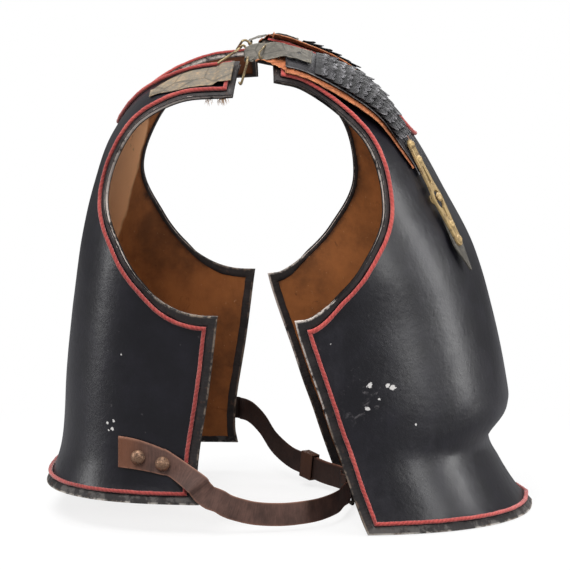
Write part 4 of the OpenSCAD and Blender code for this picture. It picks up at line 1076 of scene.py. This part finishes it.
def padding(name, s, finish):
    """A strap's padding. Its edges wander and swell by a smooth step, and its top ripples beside the leather."""
    place, t_of = strap_place(s, STRAP_T0, STRAP_T1)
    run = length_of(place)

    def half(u):
        return narrowing(t_of(u), *PADDING_WIDE) / 2

    def relief(u, a, k):
        ripples = 0.25 * ripple(u * run, 70 + s, 6, 14) * (k > 0.2) * (np.abs(a) > 12)
        return ripples + 1.3 * smooth(5.5, 2.5, half(u) - np.abs(a))
    return strap(name, finish, place, run, lambda u: half(u) + 0.5 * ripple(u * run, 60 + s, 5, 40), 0,
                 lambda u: pad_at(t_of(u)), 110, 18, 2.2, relief)


def strap_leather(name, s, finish):
    """A strap's leather on its padding, with a groove along each edge of its top."""
    place, t_of = strap_place(s, STRAP_T0, LEATHER_T1)

    def half(u):
        return narrowing(t_of(u), *LEATHER_WIDE) / 2

    def low(u):
        return pad_at(t_of(u)) + LEATHER_GAP

    def groove(u, a, k):
        return -0.55 * (k > 0.9) * smooth(1.1, 0.3, np.abs(half(u) - np.abs(a) - GROOVE_IN))
    return strap(name, finish, place, length_of(place), half, low, lambda u: low(u) + LEATHER_T, 100, 20,
                 relief=groove)


def billet(name, s, finish):
    """A billet, thinner round the pin than on the strap, with wandering edges, a smooth unevenness and one hole."""
    place, run = billet_place(s)

    def thin(u):
        return mix(0.75, 1.15, smooth(0.3, 0.5, u))
    piece = strap(name, finish, place, run, lambda u: BILLET_HALF + 0.5 * ripple(u * run, 80 + s, 5, 30),
                  lambda u: -thin(u), thin, 120, relief=lambda u, a, k: 0.3 * ripple(u * run + a, 90 + s, 6, 18))
    pierce(piece, on_strap(s, 11.3, 0, BILLET_H), 1.9, 6)
    return piece


def crumpled_hide(name, s, finish):
    """The hide between a strap's start and its pin, crumpled by two ripples that slant to opposite sides."""
    place = crumple_place(s)

    def half(u):
        return mix(13.5, 21.5, smooth(0, 0.5, u)) + 1.2 * ripple(u * 40, 140 + s, 4, 14)

    def relief(u, a, k):
        return 0.9 * ripple(u * 46 + 0.5 * a, 130 + s, 5, 13) + 0.7 * ripple(a - u * 18, 150 + s, 5, 11)
    return strap(name, finish, place, length_of(place), half, -0.9, 0.9, 60, 30, relief=relief)


# Widths at the shoulder and at the hook
PADDING_WIDE, LEATHER_WIDE, SCALES_WIDE = (49, 27), (39, 16), (37, 20)
# Thickness of the leather, its height over the padding, and how far inside its edges the grooves lie
LEATHER_T, LEATHER_GAP, GROOVE_IN = 2.2, 0.3, 2.6
# What each strap consists of: name, how it is made, finish, slot and the end of its CAD node's name, if it has one
LAYERS = (("padding", padding, "padding", "padding_leather", "_strap_padding"),
          ("leather", strap_leather, "strap", "strap_leather", "_strap_leather"),
          ("billet", billet, "grey", "grey_leather", "_strap_billet"),
          ("crumpled_hide", crumpled_hide, "padding", "padding_leather", None))


class CUIRASS_OT_straps(bpy.types.Operator):
    """Build the padding, leather and billet of both shoulder straps"""
    bl_idname = "cuirass.straps"
    bl_label = "Shoulder straps"

    def execute(self, context):
        finishes, _ = looks()
        for side, s in SIDES:
            for name, made, finish, slot, node in LAYERS:
                piece = made(f"{side}_{name}", s, finishes[finish])
                settle(piece, f"{side}_strap", slot, *([side + node] if node else []))
        return {"FINISHED"}


# Lobes of a row, and a scale's length in spacings of the rows
LOBES, LAP = 5, 1.45
# Stations where the first row starts and where one after the last would, and the least distance from row to row
SCALE_T0, SCALE_T1, SCALE_PITCH = 10.9, 9.08, 8.4


class CUIRASS_OT_scales(bpy.types.Operator):
    """Build the overlapping rows of lobed scales on both straps"""
    bl_idname = "cuirass.scales"
    bl_label = "Scales"

    def execute(self, context):
        finishes, _ = looks()
        ends = [on_strap(1, t) for t in (SCALE_T0, 10.1, SCALE_T1)]
        count = int(sum(np.linalg.norm(b - a) for a, b in zip(ends, ends[1:])) / SCALE_PITCH)
        dt = (SCALE_T0 - SCALE_T1) / count
        x = np.linspace(-1, 1, 61)[None]
        w = np.linspace(0, 1, 7)[:, None]
        for side, s in SIDES:
            rng = np.random.default_rng(400 + s)
            pairs, tips = [], []
            for i in range(count):
                lobe = x * LOBES / 2 + (i % 2) / 2
                which = np.clip(np.round(lobe) + LOBES, 0, 2 * LOBES).astype(int)
                c = 2 * (lobe - np.round(lobe))
                lift = rng.uniform(0, 1.5, 2 * LOBES + 1)[which]
                short = rng.uniform(-0.05, 0.12, 2 * LOBES + 1)[which]
                drop = 1 - np.sqrt(1 - 0.96 * c ** 2)
                t = SCALE_T0 - i * dt - dt * LAP * w * (1 - (0.30 * drop + short) * w)
                h = scale_at(t) + 1.23 * w + 0.75 * (1 - c ** 2) * w ** 0.7 + lift * w ** 2
                across = x * narrowing(t, *SCALES_WIDE) / 2
                pairs.append((on_strap(s, t, across, h + 0.6), on_strap(s, t, across, h)))
                tips += [np.broadcast_to(w, t.shape).ravel()] * 2
            piece = slabs(f"{side}_scales", pairs, finishes["scale"], {"tip": np.concatenate(tips)})
            settle(piece, f"{side}_strap", "scale_steel", f"{side}_strap_scales")
        return {"FINISHED"}


class CUIRASS_OT_hooks(bpy.types.Operator):
    """Round the hook plates and pull tabs, and finish their rivets and studs"""
    bl_idname = "cuirass.hooks"
    bl_label = "Hooks and studs"

    def execute(self, context):
        finishes, _ = looks()
        for side, _ in SIDES:
            body = f"{side}_strap"
            plate = refined(f"{side}_hook", f"{side}_hook_plate", finishes["brass"], 0.45)
            settle(plate, body, "aged_brass", f"{side}_hook_plate")
            tab = refined(f"{side}_tab", f"{side}_pull_tab", finishes["grey"], 0.4)
            settle(tab, body, "grey_leather", f"{side}_pull_tab")
            dress(finishes["brass"], f"{side}_hook_rivets", f"{side}_stud")
        return {"FINISHED"}


# The clip's bow and leg: offsets from the pin's line as x and z, and as x, away from its outer end, and z
BOW = ((-0.3, 1.2), (-0.8, 3), (-2, 5.4), (-3.4, 7.4), (-5, 8.2), (-6.8, 7.4), (-8, 5.4))
LEG = ((0.1, 1.2, -0.8), (-0.6, 2.4, -5), (-2.2, 3.2, -11), (-4.2, 3.4, -18), (-5.8, 2.4, -22.5),
       (-7.2, 0.4, -21.5))
# The clip's foot on the back plate, and the wire's radius
FOOT_T, FOOT_Y, FOOT_HEIGHT, WIRE_R = 9.66, 79.0, 5.8, 1.1


def keeper_wire(name, finish):
    """The wire keeper round the near billet: a superellipse across the billet's rise, whose sine and cosine are
    taken to the power 0.45."""
    rise, lead = billet_rise(-1, 2.35)
    run = unit(lead - rise)
    across = (on_strap(-1, STRAP_T0, -1) - on_strap(-1, STRAP_T0, 1)) / 2 + (0, 1, 0)
    wide = unit(across - across @ run * run)
    up = np.cross(run, wide)
    half, lift, radius = 15.1, 3.3, 0.88
    a, b = turns(64)[:, None], turns(12)[:, None]

    def square(v):
        return np.sign(v) * np.abs(v) ** 0.45
    line = mix(rise, lead, 0.34) + half * square(np.cos(a)) * wide + lift * square(np.sin(a)) * up
    out = np.cross(unit(np.roll(line, -1, 0) - np.roll(line, 1, 0)), run)
    rings = line[:, None] + radius * (np.cos(b) * out[:, None] + np.sin(b) * run)
    return skin(name, rings, finish, True)


class CUIRASS_OT_wires(bpy.types.Operator):
    """Build the wire clips at the shoulders and the wire keeper"""
    bl_idname = "cuirass.wires"
    bl_label = "Wires"

    def execute(self, context):
        finishes, _ = looks()
        for side, s in SIDES:
            inner, outer = s * PIN_IN, s * PIN_OUT
            foot = BACK.above(FOOT_T, BACK.phi_at(np.array(FOOT_T), s * FOOT_Y), FOOT_HEIGHT)
            stands = 1.0 if s < 0 else 0.5  # The left bow is pressed down
            bow = [SHOULDER + (x, inner - s * 2.4, z * stands) for x, z in BOW]
            turn = SHOULDER + (0, inner - s * 1.6, 0.3)
            pin = [SHOULDER + (0, y, 0) for y in np.linspace(inner + s, outer - s, 8)]
            leg = [SHOULDER + (x, outer + s * y, z) for x, y, z in LEG]
            piece = tube(f"{side}_clip", [foot, *bow[::-1], turn, *pin, *leg], WIRE_R, finishes["wire"])
            settle(piece, "back", "brass_wire", f"{side}_wire_clip")
        settle(keeper_wire("keeper_wire", finishes["wire"]), "right_keeper", "brass_wire", "right_wire_keeper")
        return {"FINISHED"}


# Stations between which a tab runs, and its half width
TAB_T0, TAB_T1, TAB_HALF = 8.25, 10.0, 14.2


def back_tab(name, s, finish):
    """A grey tab between the side pipings, which rises over the end's piping. It narrows to half at its lower end
    and has wandering edges and a smooth unevenness on top."""
    def t_of(u):
        return mix(TAB_T0, TAB_T1, u)

    def place(u, a, h):
        return BACK.above(t_of(u), BACK.phi_at(t_of(u), s * (STRAP_Y + 4 + a)), h)

    def rise(u):
        return smooth(9.58, 9.76, t_of(u))
    run = length_of(place)
    return strap(name, finish, place, run,
                 lambda u: TAB_HALF * (0.5 + 0.5 * smooth(0, 0.35, u)) + 0.4 * ripple(u * run, 110 + s, 5, 24),
                 lambda u: mix(0.3, 4.4, rise(u)), lambda u: mix(2.7, 6.1, rise(u)), 80,
                 relief=lambda u, a, k: 0.22 * ripple(u * run + 0.6 * a, 120 + s, 6, 22) * (k > 0))


class CUIRASS_OT_tabs(bpy.types.Operator):
    """Build the grey tabs on the back plate's ends and the frayed fibres under them"""
    bl_idname = "cuirass.tabs"
    bl_label = "Back tabs"

    def execute(self, context):
        finishes, sizes = looks()
        for side, s in SIDES:
            piece = back_tab(f"{side}_back_leather", s, finishes["tab"])
            settle(piece, "back", "grey_leather", f"{side}_back_tab")
        rng = np.random.default_rng(7)
        t = np.concatenate([rng.normal(9.86, 0.05, 40), rng.normal(9.55, 0.03, 14)])
        roots = BACK.above(t, -BACK.edge_phi(t), -4.2) + rng.normal(0, 0.5, (len(t), 3))
        ways = [rng.normal(0.1, 0.5, len(t)), rng.normal(-0.1, 0.35, len(t)), -rng.uniform(0.5, 1, len(t))]
        ways = unit(np.stack(ways, -1)) * rng.uniform(0.25, 1, len(t))[:, None] * sizes["fibre"]
        settle(fibres("frayed_fibres", roots, ways, finishes["fray"], 0.3), "back", "padding_leather")
        return {"FINISHED"}


# The belt's middle line: the far half round the buckle's bar and back, and the near half up to it
FAR_ROUTE = ((-54, 176, 61), (-41, 163, 59), (-28.7, 148, 49.5), (-17, 131, 34.5), (-2, 112, 24), (12, 92, 20.5),
             (28, 71, 16.5), (42.5, 52, 15), (52.6, 30, 15.2), (53, 14, 15.2), (52.9, 8, 15.2), (52.2, 5.9, 15.2),
             (49.9, 4.95, 15.2), (47.5, 6.0, 15.2), (46.8, 8, 15.2), (46.6, 16, 15.2), (46.4, 27, 15.3))
NEAR_START = ((-83, -175.7, 49), (-73, -175, 37.5), (-63, -168.5, 32), (-53, -162, 25.2), (-32, -154.5, 18.4),
              (-9, -148, 16), (11, -138.5, 16), (28, -118.5, 15.8), (43, -87, 16.4), (49.2, -53.5, 16.6),
              (53.3, -30, 15.2), (55, -12, 15.2), (56.1, 8, 15.2))
# Half width and thickness of the belt, and the distance from layer to layer
BELT_HALF, BELT_T, LAYER = 10.5, 2.6, 3.1
# Places of an anchor's rings, and where the belt leaves the back plate: x before the plate's turn
ANCHOR_X, LAST_X = (-78, -70, -62, -54, -46, -38, -31), -29.0


def anchor_t(x):
    """Station of the anchors' middle line, which sinks with the square of the way to the side edge."""
    return 1.88 - 0.25 * ((x + 78) / 48) ** 2


def phi_x(plate, t, x):
    """Angle at which a plate's own x is reached: the superellipse's f is the share of the way from side to middle."""
    xc, _, xe, _, _, n = np.moveaxis(catmull(plate.stations, t), -1, 0)
    f = (x - xe) / (xc - xe)
    return np.degrees(np.arctan2((1 - f ** n) ** (1 / n), f))


def upright(u, d):
    """Direction of the belt's width: up, made square to the way d ahead."""
    return unit(np.array((0, 0, 1.0)) - d[..., 2:] * d)


def anchored_strap(name, finish, s, points, rows):
    """A belt half: over the places on the back plate, then on along its path, with the rings between joined
    by the same cubic as the plates' stations. Its ends are rounded."""
    place, run = on_path(points, 40, upright)
    u = np.linspace(0, 1, max(2, round(run / 6)))[:, None]
    v, e, k = strap_section(10)
    across = (v * (BELT_HALF - ROUND_END) + e * ROUND_END)[None]
    height = (k * BELT_T / 2)[None]
    free = place(u, across + 0 * u, height + 0 * u)
    x = np.array(ANCHOR_X, float)[:, None]
    t = anchor_t(x) + across / 30
    fixed = BACK.above(t, s * phi_x(BACK, t, x + 0 * t), 1.75 + height + 0 * x)
    knots = np.concatenate([fixed, free])
    at = run_along(knots.mean(1))
    first = np.array((0, 0.15, 0.6))
    even = np.concatenate([first, np.linspace(ROUND_END, at[-1] - ROUND_END, rows), at[-1] - first[::-1]])
    rings = catmull(knots.reshape(len(knots), -1), np.interp(even, at, np.arange(len(knots))))
    rings = rings.reshape(len(even), -1, 3)
    end = rounded(np.minimum(even, at[-1] - even))[:, None, None]
    middle = (rings + rings[:, FLIP]) / 2
    rings = middle + (rings - middle) * end
    edge = np.broadcast_to(smooth(1.6, 0.2, BELT_HALF - np.abs(across)), rings.shape[:2])
    return skin(name, rings, finish, attributes={"edge": edge})


# For each point of a belt's section, the one on its other face
FLIP = (24 - np.arange(30)) % 30


def buckle_line():
    """Middle line of the buckle's frame, from the middle of its bar up round the corners and back from below."""
    heel, tip = np.array((49.9, 8, 15.2)), np.array((57.2, -22, 15.2))
    bar, side = np.array((0, 0, 12.7)), unit(np.array((7.3, -30, 0)))
    corner = np.array((0, 0, 2.2))

    def half(z):
        up, down = bar * z, corner * z
        return [heel - up * 0.2 * z, heel + up * 0.5, heel + up * 0.86, heel + up + side * 1.5,
                mix(heel, tip, 0.5) + up, tip + up - side * 2.2, tip + up - (side * 2.2 + down) * 0.3,
                tip + up - down]
    return [*half(1), tip, *half(-1)[::-1]]


class CUIRASS_OT_belt(bpy.types.Operator):
    """Build both halves of the belt, its keeper and its buckle"""
    bl_idname = "cuirass.belt"
    bl_label = "Belt"

    def execute(self, context):
        finishes, _ = looks()
        far = np.array(FAR_ROUTE, float)

        def over(i):
            run = far[i + 1] - far[i - 1]
            return far[i] + LAYER * unit(np.array((-run[1], run[0], 0)))
        near = [*NEAR_START, *[over(i) for i in (8, 7, 6, 5)], mix(over(5), over(4), 0.35)]
        t = anchor_t(LAST_X)
        for side, s, points, rows in (("right", -1, near, 210), ("left", 1, FAR_ROUTE, 170)):
            piece = anchored_strap(f"{side}_belt_leather", finishes[f"{side}_belt"], s, points, rows)
            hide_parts(f"{side}_belt", f"{side}_belt_anchor")
            start = BACK.above(t, s * phi_x(BACK, t, LAST_X), 2.0)
            start * MM
            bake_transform(piece)
        # The keeper takes the far half's darker finish, partly painted shade.
        loop = refined("belt_loop", "belt_keeper", finishes["left_belt"], 0.5)
        settle(loop, "keeper", "belt_leather", "belt_keeper")
        piece = tube("buckle_frame", buckle_line(), 1.6, finishes["steel"], start=(1, 0, 0))
        settle(piece, "belt", "buckle_steel", "belt_buckle")
        dress(finishes["steel"], "belt_prong")
        dress(finishes["copper"], "right_belt_rivets", "left_belt_rivets")
        return {"FINISHED"}


def stand(name, data, place, back):
    """Puts a lamp or camera at a place, with its own -Z away from the direction back and its Y upwards."""
    thing = bpy.data.objects.new(name, data)
    thing.location = place
    thing.rotation_euler = (-Vector(back)).to_track_quat("-Z", "Y").to_euler()
    bpy.context.scene.collection.objects.link(thing)
    return thing


class CUIRASS_OT_stage(bpy.types.Operator):
    """Build the floor, the lamps and the camera"""
    bl_idname = "cuirass.stage"
    bl_label = "Stage"

    def execute(self, context):
        scene = context.scene
        scene.view_settings.view_transform = "Standard"
        floor = Finish("pale_floor")
        tree = floor.tree
        output = next(n for n in tree.nodes if n.type == "OUTPUT_MATERIAL")
        ray = tree.nodes.new("ShaderNodeLightPath").outputs["Is Camera Ray"]
        pale = floor.mix((0.22, 0.22, 0.23), (0.86, 0.86, 0.86), Value(floor, ray))
        floor.surface(Base_Color=pale, Roughness=0.9, Specular_IOR_Level=0.1)
        light = floor.node("ShaderNodeEmission", {}, ((1, 1, 1), 1.0))
        away = floor.node("ShaderNodeVectorMath", {"operation": "LENGTH"}, (floor.place,), 1)
        fade = away.step(0.22, 0.6) * 0.22 + 0.78
        seen = floor.node("ShaderNodeMixShader", {}, (fade, floor.shader.outputs[0], light))
        both = floor.node("ShaderNodeMixShader", {}, (ray, floor.shader.outputs[0], seen))
        tree.links.new(both.socket, output.inputs[0])
        mesh = bpy.data.meshes.new("floor")
        corners = ((-1, -1), (1, -1), (1, 1), (-1, 1))
        mesh.from_pydata([(x * FLOOR_REACH, y * FLOOR_REACH, FLOOR_Z) for x, y in corners], [], [(0, 1, 2, 3)])
        mesh.materials.append(floor.material)
        plane = bpy.data.objects.new("floor", mesh)
        scene.collection.objects.link(plane)
        world = bpy.data.worlds.new("soft_sky")
        scene.world = world
        world.use_nodes = True
        nodes, links = world.node_tree.nodes, world.node_tree.links
        choice, rays = nodes.new("ShaderNodeMixShader"), nodes.new("ShaderNodeLightPath")
        links.new(rays.outputs["Is Camera Ray"], choice.inputs[0])
        skies = (nodes["Background"], 0.2), (nodes.new("ShaderNodeBackground"), 1.0)
        for index, (sky, strength) in enumerate(skies, 1):
            sky.inputs[0].default_value, sky.inputs[1].default_value = (1, 1, 1, 1), strength
            links.new(sky.outputs[0], choice.inputs[index])
        links.new(choice.outputs[0], nodes["World Output"].inputs[0])
        for name, place, aim, size, power in LAMPS:
            lamp = bpy.data.lights.new(name, "AREA")
            lamp.shape, lamp.size, lamp.size_y, lamp.energy = "RECTANGLE", *size, power
            stand(name, lamp, place, np.array(place) - aim)
        camera = bpy.data.cameras.new("camera")
        camera.sensor_width = 36.0
        camera.lens = camera.sensor_width * CAMERA_FAR / (PHOTO_SIZE * MM_PER_PIXEL)
        camera.clip_end = 100
        a, e = math.radians(CAMERA_AZIMUTH), math.radians(CAMERA_ELEVATION)
        back = np.array([math.sin(a) * math.cos(e), -math.cos(a) * math.cos(e), math.sin(e)])
        scene.camera = stand("camera", camera, (np.array(CAMERA_TARGET) + CAMERA_FAR * back) * MM, back)
        return {"FINISHED"}


# Half width and height of the floor, in metres
FLOOR_REACH, FLOOR_Z = 30.0, -0.0004
# The camera's turn and height in degrees and its distance in millimetres, and the photograph's side in pixels
CAMERA_AZIMUTH, CAMERA_ELEVATION, CAMERA_FAR = 0.5, 7.5, 4000.0
PHOTO_SIZE, MM_PER_PIXEL = 570, 0.92
CAMERA_TARGET = (-5.5, 0, 203)
# Each lamp's name, place, aim, size in metres and power in watts
LAMPS = (
    ("key", (-0.9, -1.6, 2.5), (0, 0, 0.2), (1.2, 1.2), 62),
    ("front", (0.3, -3.0, 1.3), (0, 0, 0.2), (0.5, 0.5), 9),
    ("right_box", (2.1, -1.3, 0.75), (0, 0, 0.2), (0.5, 1.7), 22),
    ("right_rim", (2.35, 0.15, 0.5), (0.1, 0, 0.2), (0.5, 1.5), 21),
    ("left_box", (-2.3, 0.0, 0.7), (0, 0, 0.2), (0.45, 1.7), 18),
    ("top", (0.0, 0.1, 2.4), (0, 0, 0.2), (1.8, 1.3), 36),
    ("behind", (0.6, 2.2, 1.5), (0, 0, 0.25), (1.6, 1.1), 24),
)

STEPS = (CUIRASS_OT_plates, CUIRASS_OT_linings, CUIRASS_OT_bindings, CUIRASS_OT_pipings, CUIRASS_OT_straps,
         CUIRASS_OT_scales, CUIRASS_OT_hooks, CUIRASS_OT_wires, CUIRASS_OT_tabs, CUIRASS_OT_belt, CUIRASS_OT_stage)


class CUIRASS_PT_panel(bpy.types.Panel):
    """Lists the sizes, the colours and the steps that build the cuirass"""
    bl_idname = "CUIRASS_PT_panel"
    bl_label = "Cuirass"
    bl_space_type = "VIEW_3D"
    bl_region_type = "UI"
    bl_category = "Cuirass"

    def draw(self, context):
        for group in (context.scene.cuirass_sizes, context.scene.cuirass_colours):
            box = self.layout.box()
            for key in group.__annotations__:
                box.prop(group, key)
        for step in STEPS:
            self.layout.operator(step.bl_idname)


CLASSES = (CUIRASS_PG_colours, CUIRASS_PG_sizes, *STEPS, CUIRASS_PT_panel)


def register():
    for item in CLASSES:
        bpy.utils.register_class(item)
    bpy.types.Scene.cuirass_colours = PointerProperty(type=CUIRASS_PG_colours)
    bpy.types.Scene.cuirass_sizes = PointerProperty(type=CUIRASS_PG_sizes)


def unregister():
    del bpy.types.Scene.cuirass_sizes
    del bpy.types.Scene.cuirass_colours
    for item in reversed(CLASSES):
        bpy.utils.unregister_class(item)


def main():
    """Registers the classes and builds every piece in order."""
    register()
    for step in STEPS:
        group, name = step.bl_idname.split(".")
        getattr(getattr(bpy.ops, group), name)()


if __name__ == "__main__":
    main()
